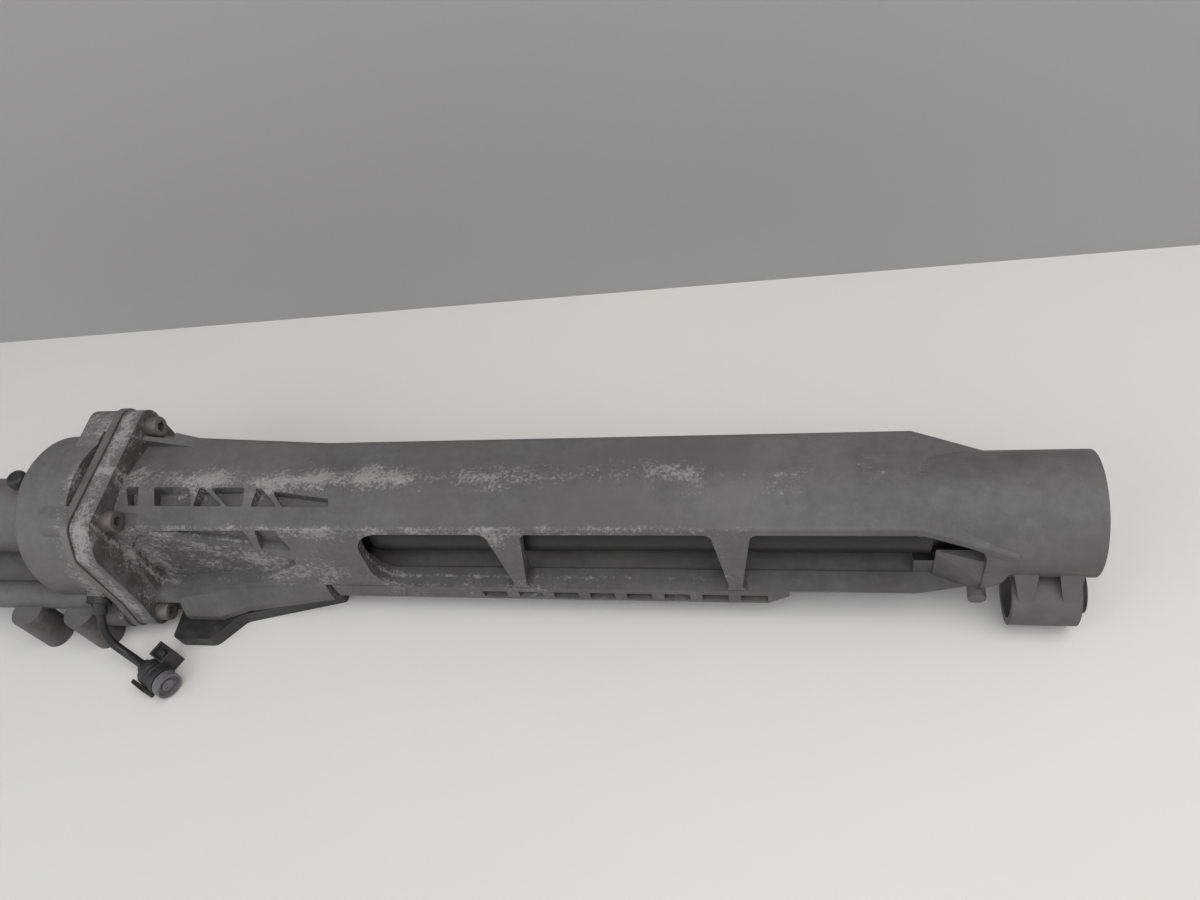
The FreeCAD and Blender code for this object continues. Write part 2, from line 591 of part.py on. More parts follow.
def cut_hollow(body):
    """The clutch bay, the trough round the shaft and the stepped bores of the bearings."""
    trough = add_sketch(body, "trough", "YZ_Plane", out=x_bevel)
    inner_z = s.floor_z - s.wall
    rounded(trough, [
        (s.crest_y, s.crest_z - s.wall),
        (-bore_y, s.window_top_z),
        (-bore_y, -inner_z),
        (s.back_y - s.wall, -inner_z),
        (s.back_y - s.wall, s.back_z - s.wall),
    ], [s.trough_crest_radius, s.trough_lip_radius, s.floor_radius, s.trough_radius, s.trough_radius])
    extrude(body, "Pocket", trough, s.open_length)
    bearing_face = -s.bearing_inset
    clip_left = bearing_face
    web_bearing = x_web_right - s.bearing_width - s.clip_groove * 2
    bore = s.bay_bore / 2
    seat = s.bearing_od / 2
    groove = seat + s.clip_depth / 2
    turn(body, "Groove", "shaft_bores", [
        (x_joint - 1, 0), (x_joint - 1, bore), (web_bearing, bore), (web_bearing, seat),
        (x_web_right - s.clip_groove * 2, seat), (x_web_right - s.clip_groove * 2, groove),
        (x_web_right - s.clip_groove, groove), (x_web_right - s.clip_groove, seat),
        (x_web_right + 1, seat), (x_web_right + 1, bore),
        (bearing_face - s.bearing_width, bore), (bearing_face - s.bearing_width, seat),
        (clip_left, seat), (clip_left, groove), (clip_left + s.clip_groove, groove),
        (clip_left + s.clip_groove, seat), (s.rim_overhang + 1, seat), (s.rim_overhang + 1, 0),
    ])
    eye_radius = s.eye_bore / 2
    turn(body, "Groove", "eye_bore_cut", [
        (-s.eye_left_x - 1, 0), (-s.eye_left_x - 1, eye_radius),
        (s.eye_right_x + 1, eye_radius), (s.eye_right_x + 1, 0),
    ], axis_y=-s.eye_y, axis_z=eye_z)


def cut_windows(body):
    """Three windows in the front wall, parted by struts that narrow towards the sill."""
    top, foot = s.strut_top / 2, s.strut_foot / 2
    left, right = -s.strut_left_x, -s.strut_right_x
    upper, lower = s.window_top_z, -s.window_sill_z
    corner = s.window_corner
    end = s.window_end
    window_left, window_right = -s.window_left_x, -s.window_right_x
    outlines = {
        "left_window": ([(window_left, upper), (window_left, lower),
                         (left - foot, lower), (left - top, upper)],
                        [end, end, corner, corner]),
        "middle_window": ([(left + top, upper), (left + foot, lower),
                           (right - foot, lower), (right - top, upper)], [corner] * 4),
        "right_window": ([(right + top, upper), (right + foot, lower), (window_right, lower),
                          (window_right, upper - s.window_drop), (x_bevel + 2, upper)],
                         [corner, corner, end / 2, end / 2, end]),
    }
    for name, (points, radii) in outlines.items():
        window = add_sketch(body, name, "XZ_Plane", out=bore_y - 1)
        rounded(window, points, radii)
        extrude(body, "Pocket", window, s.sill_y, reverse=True)


def cut_truss(body):
    """The row of cast truss pockets in the bay's roof, the last one a long taper."""
    back, front = -s.truss_back, -s.truss_front
    roof = add_sketch(body, "truss_pockets", "XY_Plane", out=s.crest_z - s.truss_depth)
    for pocket in TRUSS:
        back_left, back_right, front_right, front_left = (
            -getattr(s, f"{pocket}_{place}_x")
            for place in ("back_left", "back_right", "front_right", "front_left"))
        rounded(roof, [(front_left, front), (front_right, front), (back_right, back), (back_left, back)],
                [s.truss_corner] * 4)
    left, right = -s.short_front_right_x, x_web_right - s.taper_end
    rounded(roof, [(left + s.taper_gap, front), (right, front),
                   (right - s.taper_lean, front + s.taper_rise),
                   (left - s.taper_reach, back - s.taper_drop)], [s.truss_corner] * 4)
    extrude(body, "Pocket", roof, s.crest_z, reverse=True)


def cut_scoop(body):
    """The scoop cast into the bay's front wall and the two pockets above its slanting rib."""
    scoop = add_sketch(body, "scoop", "XZ_Plane", out=s.scoop_y)
    rounded(scoop, *outline("scoop", x_face))
    extrude(body, "Pocket", scoop, s.skirt_y, reverse=True)
    pockets = add_sketch(body, "scoop_pockets", "XZ_Plane", out=s.scoop_pocket_y)
    for name in ("long_pocket", "small_pocket"):
        rounded(pockets, *outline(name, x_face, s.scoop_pocket_z))
    extrude(body, "Pocket", pockets, s.skirt_y, reverse=True)


def cut_rail(body):
    """A row of shallow pockets in the front rail."""
    rail = add_sketch(body, "rail_pocket", "XZ_Plane", out=s.sill_y - s.rail_pocket_depth)
    first = -s.rail_right_x - s.rail_ramp - s.rail_pocket
    low = -(s.floor_z + s.rail_depth - 2)
    polygon(rail, [(first, low), (first + s.rail_pocket, low),
                   (first + s.rail_pocket, -s.floor_z), (first, -s.floor_z)])
    pocket = extrude(body, "Pocket", rail, s.sill_y, reverse=True)
    pattern = body.newObject("PartDesign::LinearPattern", "rail_pocket_row")
    pattern.Originals = [pocket]
    pattern.Direction = (rail, ["H_Axis"])
    pattern.Reversed = True
    pattern.Mode = 1
    pattern.Occurrences = int(s.rail_pocket_count.value)
    pattern.setExpression("Occurrences", s.rail_pocket_count.text)
    pattern.setExpression("Offset", s.rail_pocket_pitch.text)
    body.Tip = pattern


def cut_bolt_seats(body):
    """Clearance holes for the flange bolts with room for their heads, and the fork's slot."""
    holes = add_sketch(body, "bolt_holes", "YZ_Plane", out=x_face)
    seats = add_sketch(body, "bolt_seats", "YZ_Plane", out=x_face)
    for bolt in BOLTS:
        circle(holes, bolt, s.bolt_od + s.hole_gap)
        circle(seats, bolt, s.bolt_head_od + 3)
    extrude(body, "Pocket", holes, s.flange_length + 1)
    extrude(body, "Pocket", seats, s.bolt_head + s.head_room, reverse=True)
    dowel_holes(body, x_joint, s.dowel_length / 2, reverse=True)
    slot = add_sketch(body, "fork_slot", "XY_Plane", out=-s.pad_z - 1)
    half = fork_side + s.fork_play
    fork_x = sleeve_middle()
    left = fork_x - s.sleeve_travel - s.groove_width
    right = fork_x + s.groove_width
    polygon(slot, [(left, -half), (right, -half), (right, half), (left, half)])
    extrude(body, "Pocket", slot, s.pad_z - s.bay_bore / 4, reverse=True)
    screws = add_sketch(body, "actuator_screw_holes", "XY_Plane", out=-s.pad_z - 1)
    for point in actuator_screw_places():
        circle(screws, point, s.actuator_screw_od + s.thread_gap)
    extrude(body, "Pocket", screws, s.screw_hole_depth, reverse=True)


def sleeve_middle():
    return -s.sleeve_right_x - s.sleeve_length / 2


def actuator_screw_places():
    inset = s.screw_head_od / 2 + 1
    return [(x, side * (s.actuator_half - inset))
            for x in (-s.actuator_left_x + inset, -s.actuator_right_x - inset) for side in (-1, 1)]



def flange_holes(body, x, length, reverse=False):
    """The four bolt holes through a flange-shaped piece."""
    holes = add_sketch(body, "bolt_holes", "YZ_Plane", out=x)
    for bolt in BOLTS:
        circle(holes, bolt, s.bolt_od + s.hole_gap)
    extrude(body, "Pocket", holes, length, reverse=reverse)


def dowel_holes(body, x, length, reverse=False):
    holes = add_sketch(body, "dowel_holes", "YZ_Plane", out=x)
    for place in DOWELS:
        circle(holes, place, s.dowel_od + s.fit_gap * 2)
    extrude(body, "Pocket", holes, length, reverse=reverse)


def build_joint_plate():
    """The thin plate between the carrier flange and the clutch housing."""
    body = new_body("joint_plate")
    face = add_sketch(body, "plate", "YZ_Plane", out=x_plate_left)
    rounded(face, *flange_outline(s.plate_lip))
    circle(face, (0, 0), s.bay_bore)
    extrude(body, "Pad", face, s.plate_length)
    flange_holes(body, x_plate_left, s.plate_length, reverse=True)
    dowel_holes(body, x_plate_left, s.plate_length, reverse=True)


def build_gaskets():
    """One thin gasket on each side of the joint plate."""
    body = new_body("joint_gaskets", compound=True)
    for name, x in (("carrier_gasket", x_plate), ("housing_gasket", x_bell)):
        face = add_sketch(body, name, "YZ_Plane", out=x)
        rounded(face, *flange_outline(-s.gasket_length))
        circle(face, (0, 0), s.bay_bore)
        extrude(body, "Pad", face, s.gasket_length)
        holes = add_sketch(body, f"{name}_holes", "YZ_Plane", out=x)
        for place in BOLTS:
            circle(holes, place, s.bolt_od + s.hole_gap)
        for place in DOWELS:
            circle(holes, place, s.dowel_od + s.fit_gap * 2)
        extrude(body, "Pocket", holes, s.gasket_length, reverse=True)


def build_flange_bolts():
    """Four cap bolts with a six-sided recess, heads on the carrier side."""
    body = new_body("flange_bolts", compound=True)
    shanks = add_sketch(body, "shanks", "YZ_Plane", out=x_bell - s.bolt_reach)
    heads = add_sketch(body, "heads", "YZ_Plane", out=x_face)
    recesses = add_sketch(body, "recesses", "YZ_Plane", out=x_face + s.bolt_head / 2)
    recess = s.bolt_head_od / 4
    for y, z in BOLTS:
        circle(shanks, (y, z), s.bolt_od)
        circle(heads, (y, z), s.bolt_head_od)
        polygon(recesses, [
            (y + recess * math.cos(math.radians(angle)), z + recess * math.sin(math.radians(angle)))
            for angle in range(0, 360, 60)])
    extrude(body, "Pad", shanks, x_face - x_bell + s.bolt_reach)
    extrude(body, "Pad", heads, s.bolt_head)
    extrude(body, "Pocket", recesses, s.bolt_head, reverse=True)


def build_dowels():
    body = new_body("dowel_pins", compound=True)
    pins = add_sketch(body, "pins", "YZ_Plane", out=x_plate_left - s.dowel_length / 2)
    for place in DOWELS:
        circle(pins, place, s.dowel_od)
    extrude(body, "Pad", pins, s.dowel_length)


def build_clutch_housing():
    """The bell over the clutch, its neck and spigot, bolt bosses, gallery and three feet."""
    body = new_body("clutch_housing")
    radius = s.bell_od / 2
    turn(body, "Revolution", "bell", [
        (x_spigot, 0), (x_spigot, s.register_od / 2),
        (x_spigot + s.register_length, s.register_od / 2),
        (x_spigot + s.register_length, s.spigot_od / 2), (x_neck_end, s.spigot_od / 2),
        (x_neck_end + s.neck_length / 2, s.neck_od / 2), (x_bell_end - 1, s.neck_od / 2),
        (x_bell_end, radius - s.bell_shoulder), (x_bell_end + 1, radius - s.bell_round / 2),
        (x_bell_end + s.bell_round, radius),
        (x_bell, radius), (x_bell, 0),
    ])
    flange = add_sketch(body, "bell_flange", "YZ_Plane", out=x_bell - s.bell_flange)
    points, radii = flange_outline()
    points[2:4] = [(-s.bolt_front_y - s.bolt_boss, s.bolt_top_z - s.bolt_boss),
                   (-s.bolt_front_y, -s.bell_ear_z),
                   (-s.bolt_low_y - s.bolt_boss, -s.bolt_low_z + s.bell_ear_rise)]
    rounded(flange, points, [s.bolt_boss] * 2 + [s.bell_round] * 3 + [s.bolt_boss] * 2)
    extrude(body, "Pad", flange, s.bell_flange)
    gallery = add_sketch(body, "gallery", "YZ_Plane", out=-s.gallery_left_x)
    circle(gallery, (-s.gallery_y, -s.gallery_z), s.gallery_od)
    extrude(body, "Pad", gallery, s.gallery_left_x + x_bell - s.bell_flange)
    web = add_sketch(body, "gallery_web", "YZ_Plane", out=-s.gallery_left_x)
    web_low = -s.gallery_z - s.web_thick / 2
    polygon(web, [(-s.gallery_y, web_low), (-s.web_thick, web_low), (-s.web_thick, web_low + s.web_thick),
                  (-s.gallery_y, web_low + s.web_thick)])
    extrude(body, "Pad", web, s.gallery_left_x + x_bell_end + s.bell_floor)
    feet = add_sketch(body, "feet", "XY_Plane", out=-s.table_z)
    for place in FEET:
        circle(feet, place, s.foot_od)
    extrude(body, "Pad", feet, s.table_z - s.gallery_z)
    boss = add_sketch(body, "sensor_boss", "XY_Plane", right=-s.sensor_x, tilt=90 + s.sensor_angle)
    circle(boss, (0, 0), s.sensor_od + s.sensor_boss_wall * 2)
    extrude(body, "Pad", boss, radius + s.sensor_boss)
    vent = add_sketch(body, "vent_boss", "XY_Plane", right=-s.vent_x, up=s.vent_y)
    circle(vent, (0, 0), s.vent_od - s.vent_step * 2)
    extrude(body, "Pad", vent, s.spigot_od / 2 + s.vent_root)

    seat = s.bearing_od / 2
    mouth = x_bell_end + s.bell_floor
    bearing_right = mouth - s.clip_groove * 2
    bearing_left = bearing_right - s.bearing_width
    turn(body, "Groove", "bell_bores", [
        (x_spigot - 1, 0), (x_spigot - 1, s.spigot_bore / 2), (bearing_left, s.spigot_bore / 2),
        (bearing_left, seat), (bearing_right, seat), (bearing_right, seat + s.clip_depth / 2),
        (bearing_right + s.clip_groove, seat + s.clip_depth / 2), (bearing_right + s.clip_groove, seat),
        (mouth, seat), (mouth, s.bell_cavity / 2), (x_bell + 1, s.bell_cavity / 2), (x_bell + 1, 0),
    ])
    sensor = add_sketch(body, "sensor_hole", "XY_Plane", right=-s.sensor_x, tilt=90 + s.sensor_angle)
    circle(sensor, (0, 0), s.sensor_od + s.fit_gap * 2)
    extrude(body, "Pocket", sensor, radius + s.drill_over, reverse=True)
    threads = add_sketch(body, "bolt_threads", "YZ_Plane", out=x_bell)
    for bolt in BOLTS:
        circle(threads, bolt, s.bolt_od + s.fit_gap * 2)
    extrude(body, "Pocket", threads, s.bolt_reach + 1)
    dowel_holes(body, x_bell, s.dowel_length / 2)
    relief = add_sketch(body, "flange_relief", "YZ_Plane", out=x_bell)
    relief_front, relief_back = -s.bolt_front_y + s.bolt_head / 2, s.bolt_back_y - s.bolt_boss
    relief_low, relief_top = s.bolt_top_z + s.bolt_head / 2, s.bolt_top_z + s.bolt_boss * 2
    polygon(relief, [(relief_front, relief_low), (relief_back, relief_low),
                     (relief_back, relief_top), (relief_front, relief_top)])
    extrude(body, "Pocket", relief, s.bell_relief)
    foot_holes = add_sketch(body, "foot_holes", "XY_Plane", out=-s.table_z)
    for place in FEET:
        circle(foot_holes, place, s.foot_hole)
    extrude(body, "Pocket", foot_holes, s.foot_hole_depth, reverse=True)


def add_teeth(body, name, x, length, root, tip, half_step=False):
    """A ring of straight teeth along the shaft, as many as the dog clutch has."""
    tooth = add_sketch(body, name, "YZ_Plane", out=x, spin=180 / s.dog_count if half_step else 0)
    half = s.tooth_width / 2
    polygon(tooth, [(root, -half), (tip, -half), (tip, half), (root, half)])
    pad = extrude(body, "Pad", tooth, length)
    pattern = body.newObject("PartDesign::PolarPattern", f"{name}_ring")
    pattern.Originals = [pad]
    pattern.Axis = (tooth, ["N_Axis"])
    pattern.Angle = 360
    pattern.Occurrences = int(s.dog_count.value)
    pattern.setExpression("Occurrences", s.dog_count.text)
    body.Tip = pattern


def build_drive_shaft():
    """The hollow black shaft: output socket, tube, journals, dog teeth and pilot."""
    body = new_body("drive_shaft")
    tube = s.shaft_tube_od / 2
    neck = s.shaft_neck_od / 2
    journal = s.bearing_bore / 2 - s.fit_gap / 2
    root = s.dog_root / 2
    left_shoulder = x_web_right - s.clip_groove * 2
    right_shoulder = -s.bearing_inset - s.bearing_width
    dog_left = -s.dog_right_x - s.dog_length
    pilot_left = dog_left - s.pilot_length
    bore, passage = s.tube_bore / 2, s.pilot_od / 3
    turn(body, "Revolution", "shaft", [
        (pilot_left, 0), (pilot_left, s.pilot_od / 2), (dog_left, s.pilot_od / 2), (dog_left, root),
        (x_web_left, root), (x_web_left, journal), (left_shoulder, journal), (left_shoulder, neck),
        (-s.shaft_left_x, neck), (-s.shaft_left_x + s.shaft_taper, tube), (-s.shaft_right_x, tube),
        (-s.shaft_right_x, neck), (right_shoulder, neck), (right_shoulder, journal), (0, journal),
        (0, s.socket_bore / 2), (-s.socket_depth, s.socket_bore / 2), (-s.socket_depth, passage),
        (-s.shaft_right_x - s.shaft_taper * 2, passage), (-s.shaft_right_x - s.shaft_taper * 2, bore),
        (-s.shaft_left_x + s.shaft_taper * 3, bore), (-s.shaft_left_x + s.shaft_taper * 3, 0),
    ])
    add_teeth(body, "dog_tooth", dog_left, s.dog_length, root - s.tooth_sink, s.dog_od / 2)


def build_stub_shaft():
    """The inboard shaft: clutch splines, tone ring hub, journal and the outer spline end."""
    body = new_body("stub_shaft")
    right = -s.dog_right_x - s.dog_length - s.clutch_gap
    spline_left = right - s.stub_spline_length
    hub_left = -s.sensor_x - s.hub_length / 2
    shoulder = x_bell_end + s.bell_floor - s.clip_groove * 2
    journal_left = shoulder - s.bearing_width - s.clip_groove * 2
    end_right = -s.stub_end_x + s.stub_end_length
    root, neck = s.dog_root / 2, s.shaft_neck_od / 2
    journal = s.bearing_bore / 2 - s.fit_gap / 2
    pilot = s.pilot_od / 2 + s.fit_gap
    turn(body, "Revolution", "stub", [
        (-s.stub_end_x, 0), (-s.stub_end_x, s.stub_end_od / 2 - s.stub_chamfer),
        (-s.stub_end_x + s.stub_chamfer, s.stub_end_od / 2), (end_right, s.stub_end_od / 2),
        (end_right, s.stub_od / 2), (journal_left, s.stub_od / 2), (journal_left, journal),
        (shoulder, journal), (shoulder, neck), (hub_left, neck), (hub_left, s.hub_od / 2),
        (hub_left + s.hub_length, s.hub_od / 2), (hub_left + s.hub_length, root), (right, root),
        (right, pilot), (right - s.pilot_length - 2, pilot), (right - s.pilot_length - 2, 0),
    ])
    add_teeth(body, "stub_tooth", spline_left, s.stub_spline_length, root - s.tooth_sink, s.dog_od / 2)


def build_clutch_sleeve():
    """The sliding sleeve: inner teeth that lock both shafts, outer groove for the fork."""
    body = new_body("clutch_sleeve")
    right = -s.sleeve_right_x
    left = right - s.sleeve_length
    middle = sleeve_middle()
    outer = s.sleeve_od / 2
    inner = s.dog_od / 2 + s.tooth_gap
    groove = outer - s.groove_depth
    half = s.groove_width / 2
    turn(body, "Revolution", "sleeve", [
        (left, inner), (right, inner), (right, outer), (middle + half, outer),
        (middle + half, groove), (middle - half, groove), (middle - half, outer), (left, outer),
    ])
    add_teeth(body, "sleeve_tooth", left, s.sleeve_length, s.dog_root / 2 + s.tooth_gap,
              inner + s.tooth_sink, half_step=True)


def build_fork():
    """The shift fork: a half ring in the sleeve's groove on a foot with screw and rail holes."""
    body = new_body("shift_fork")
    thick = s.fork_thick
    left = sleeve_middle() - thick / 2
    inner = s.sleeve_od / 2 - s.groove_depth + s.fork_gap
    outer = s.bay_bore / 2 - s.fork_gap * 2
    ring = add_sketch(body, "fork_ring", "YZ_Plane", out=left)
    circle(ring, (0, 0), outer * 2)
    circle(ring, (0, 0), inner * 2)
    extrude(body, "Pad", ring, thick)
    foot = add_sketch(body, "fork_foot", "YZ_Plane", out=left)
    foot_top = -(inner + s.fork_play)
    foot_low = -s.screw_drop - s.screw_od / 2 - s.fork_floor
    polygon(foot, [(-s.screw_od, foot_top), (-s.screw_od, foot_low), (fork_side, foot_low),
                   (fork_side, -s.pad_z), (s.screw_od, foot_top)])
    extrude(body, "Pad", foot, thick)
    upper = add_sketch(body, "fork_mouth", "YZ_Plane", out=left)
    polygon(upper, [(-outer - 1, inner / 4), (outer + 1, inner / 4), (outer + 1, outer + 1),
                    (-outer - 1, outer + 1)])
    extrude(body, "Pocket", upper, thick, reverse=True)
    holes = add_sketch(body, "fork_holes", "YZ_Plane", out=left)
    circle(holes, (0, -s.screw_drop), s.screw_od + s.fit_gap * 2)
    circle(holes, (s.rail_offset, -s.screw_drop), s.rail_od + s.fit_gap * 2)
    extrude(body, "Pocket", holes, thick, reverse=True)


def build_actuator():
    """The actuator below the carrier: housing, rail, lead screw, motor, board and screws."""
    left, right = -s.actuator_left_x, -s.actuator_right_x
    length = right - left
    wall = s.actuator_wall
    floor = -s.table_z + wall
    body = new_body("actuator_housing")
    front, half = -s.actuator_front, s.actuator_half
    plan = add_sketch(body, "plan", "XY_Plane", out=-s.table_z)
    rounded(plan, [(left, half), (left, front), (-s.actuator_corner_x, front),
                   (-s.actuator_step_x, -s.actuator_step_y), (right, -half - 1), (right, half)],
            [s.actuator_radius, s.actuator_nose_radius, s.actuator_bend_radius, s.actuator_bend_radius,
             s.actuator_radius, s.actuator_radius])
    extrude(body, "Pad", plan, s.table_z - s.actuator_shelf_z)
    upper = add_sketch(body, "upper", "XY_Plane", out=-s.actuator_shelf_z)
    polygon(upper, [(left, half), (left, -half - 1), (right, -half - 1), (right, half)])
    extrude(body, "Pad", upper, s.actuator_shelf_z - s.pad_z)
    hollow = add_sketch(body, "hollow", "XY_Plane", out=floor)
    side = half - s.screw_head_od - 2
    polygon(hollow, [(left + wall * 2, -side), (right - wall * 2, -side),
                     (right - wall * 2, side), (left + wall * 2, side)])
    extrude(body, "Pocket", hollow, s.table_z, reverse=True)
    bay = add_sketch(body, "board_bay", "XY_Plane", out=floor)
    bay_front, bay_back = front + wall, -half - wall
    bay_left, bay_right = left + wall * 2, -s.actuator_corner_x - wall
    polygon(bay, [(bay_left, bay_front), (bay_right, bay_front), (bay_right, bay_back),
                  (bay_left, bay_back)])
    extrude(body, "Pocket", bay, s.table_z - wall * 2 - s.actuator_shelf_z, reverse=True)
    shafts = add_sketch(body, "end_holes", "YZ_Plane", out=left + wall)
    circle(shafts, (0, -s.screw_drop), s.screw_od + s.fit_gap * 2)
    circle(shafts, (s.rail_offset, -s.screw_drop), s.rail_od + s.fit_gap * 2)
    extrude(body, "Pocket", shafts, length - wall * 2, reverse=True)
    holes = add_sketch(body, "screw_holes", "XY_Plane", out=-s.table_z)
    seats = add_sketch(body, "screw_seats", "XY_Plane", out=-s.table_z)
    for place in actuator_screw_places():
        circle(holes, place, s.actuator_screw_od + s.hole_gap)
        circle(seats, place, s.screw_head_od + s.hole_gap)
    extrude(body, "Pocket", holes, s.table_z - s.pad_z, reverse=True)
    extrude(body, "Pocket", seats, s.screw_head + 1, reverse=True)

    body = new_body("actuator_screws", compound=True)
    heads = add_sketch(body, "heads", "XY_Plane", out=-s.table_z + 1)
    shanks = add_sketch(body, "shanks", "XY_Plane", out=-s.table_z + 1)
    for place in actuator_screw_places():
        circle(heads, place, s.screw_head_od)
        circle(shanks, place, s.actuator_screw_od)
    extrude(body, "Pad", shanks, s.table_z - s.pad_z + s.screw_grip)
    extrude(body, "Pad", heads, s.screw_head)

    body = new_body("fork_rail")
    rail = add_sketch(body, "rail", "YZ_Plane", out=left + wall)
    circle(rail, (s.rail_offset, -s.screw_drop), s.rail_od)
    extrude(body, "Pad", rail, length - wall * 2)

    body = new_body("actuator_screw")
    motor_left = right - wall * 2 - s.motor_length - s.fork_gap
    screw = add_sketch(body, "screw", "YZ_Plane", out=left + wall)
    circle(screw, (0, -s.screw_drop), s.screw_od)
    extrude(body, "Pad", screw, motor_left - left - wall - s.fork_gap)

    body = new_body("actuator_motor")
    motor = add_sketch(body, "motor", "YZ_Plane", out=motor_left)
    circle(motor, (0, -s.screw_drop), s.motor_od)
    extrude(body, "Pad", motor, s.motor_length)

    body = new_body("actuator_board")
    board = add_sketch(body, "board", "XY_Plane", out=floor)
    gap = s.fork_gap
    polygon(board, [(bay_left + gap, bay_front + gap), (bay_right - gap, bay_front + gap),
                    (bay_right - gap, bay_back - gap), (bay_left + gap, bay_back - gap)])
    extrude(body, "Pad", board, s.board_thick)


def build_bearing(prefix, x_left):
    """One shielded ball bearing as outer ring, inner ring and the closed set of caged balls."""
    inner, outer = s.bearing_bore + s.bearing_race * 2, s.bearing_od - s.bearing_race * 2
    x_right = x_left + s.bearing_width
    gap = s.fork_gap
    for side, x_start, x_end, inside, outside in (
            ("outer", x_left, x_right, outer, s.bearing_od - s.fit_gap),
            ("inner", x_left, x_right, s.bearing_bore, inner),
            ("cage", x_left + gap, x_right - gap, inner + gap * 2, outer - gap * 2)):
        body = new_body(f"{prefix}_bearing_{side}")
        turn(body, "Revolution", "ring", tube_outline(x_start, x_end, inside, outside))


def build_snap_ring(label, x_left):
    """An open snap ring in the groove beside a bearing."""
    body = new_body(label)
    feature = turn(body, "Revolution", "ring", tube_outline(
        x_left, x_left + s.clip_thick, s.bearing_od - s.clip_depth * 2, s.bearing_od + s.clip_depth / 2))
    feature.Angle = s.clip_angle.value
    feature.setExpression("Angle", s.clip_angle.text)


def build_seal(label, x_left, shaft, bore):
    """An oil seal: a wall that runs on the shaft and a rim towards the bearing."""
    body = new_body(label)
    outer, inner = bore / 2 - s.fit_gap / 2, shaft / 2 + s.fit_gap
    x_right = x_left + s.seal_width
    turn(body, "Revolution", "seal", [
        (x_left, inner), (x_left, outer), (x_right, outer), (x_right, outer - s.seal_wall),
        (x_left + s.seal_wall, outer - s.seal_wall), (x_left + s.seal_wall, inner),
    ])


def build_tone_ring():
    body = new_body("tone_ring")
    x_left = -s.sensor_x - s.tone_width / 2
    turn(body, "Revolution", "ring", tube_outline(
        x_left, x_left + s.tone_width, s.hub_od + s.fit_gap, s.tone_od))
    slot = add_sketch(body, "slot", "YZ_Plane", out=x_left)
    half = s.tone_slot / 2
    outer = s.tone_od / 2
    polygon(slot, [(outer - s.tone_slot, -half), (outer + 1, -half), (outer + 1, half),
                   (outer - s.tone_slot, half)])
    pocket = extrude(body, "Pocket", slot, s.tone_width, reverse=True)
    teeth = body.newObject("PartDesign::PolarPattern", "slots")
    teeth.Originals = [pocket]
    teeth.Axis = (slot, ["N_Axis"])
    teeth.Angle = 360
    teeth.Occurrences = int(s.tone_teeth.value)
    teeth.setExpression("Occurrences", s.tone_teeth.text)
    body.Tip = teeth


def build_bush():
    """The suspension bush in the eye: outer sleeve, rubber with a collar and inner sleeve."""
    left, right = -s.eye_left_x + s.bush_inset, s.eye_right_x
    outer = s.eye_bore - s.fit_gap
    middle = outer - s.bush_wall * 2
    hole, rod = s.bush_hole / 2, s.bush_inner_od / 2
    collar = right + s.bush_collar
    outlines = {
        "bush_outer_sleeve": tube_outline(left, right, middle, outer),
        "bush_rubber": [(left + 1, rod), (collar, rod), (collar, s.bush_collar_od / 2),
                        (right, s.bush_collar_od / 2), (right, middle / 2), (left + 1, middle / 2)],
        "bush_inner_sleeve": [(left, hole), (right + s.bush_proud, hole), (right + s.bush_proud, rod),
                              (left, rod)],
    }
    for label, points in outlines.items():
        turn(new_body(label), "Revolution", "sleeve", points, axis_y=-s.eye_y, axis_z=eye_z)


def build_sensor():
    """The speed sensor, radial to the shaft, with its tip just clear of the tone ring."""
    body = new_body("speed_sensor")
    tip = s.tone_od / 2 + s.sensor_air
    face = s.bell_od / 2 + s.sensor_boss
    probe = add_sketch(body, "probe", "XY_Plane", right=-s.sensor_x, tilt=90 + s.sensor_angle, lift=tip)
    circle(probe, (0, 0), s.sensor_od)
    extrude(body, "Pad", probe, face - tip)
    head = add_sketch(body, "head", "XY_Plane", right=-s.sensor_x, tilt=90 + s.sensor_angle, lift=face)
    circle(head, (0, 0), s.sensor_od + s.sensor_flange * 2)
    extrude(body, "Pad", head, s.sensor_head)
    reach = face + s.sensor_head / 2
    outlet = add_sketch(body, "outlet", "XY_Plane", right=-s.sensor_x, tilt=90 + s.outlet_angle,
                        up=-(reach * cosine(s.sensor_angle)), out=-(reach * sine(s.sensor_angle)))
    circle(outlet, (0, 0), s.lead_od + 3)
    extrude(body, "Pad", outlet, s.outlet_length)



def build_vent_cap():
    body = new_body("breather_cap")
    cap = add_sketch(body, "cap", "XY_Plane", right=-s.vent_x, up=s.vent_y, out=s.spigot_od / 2 + s.vent_root)
    circle(cap, (0, 0), s.vent_od)
    extrude(body, "Pad", cap, s.vent_height)


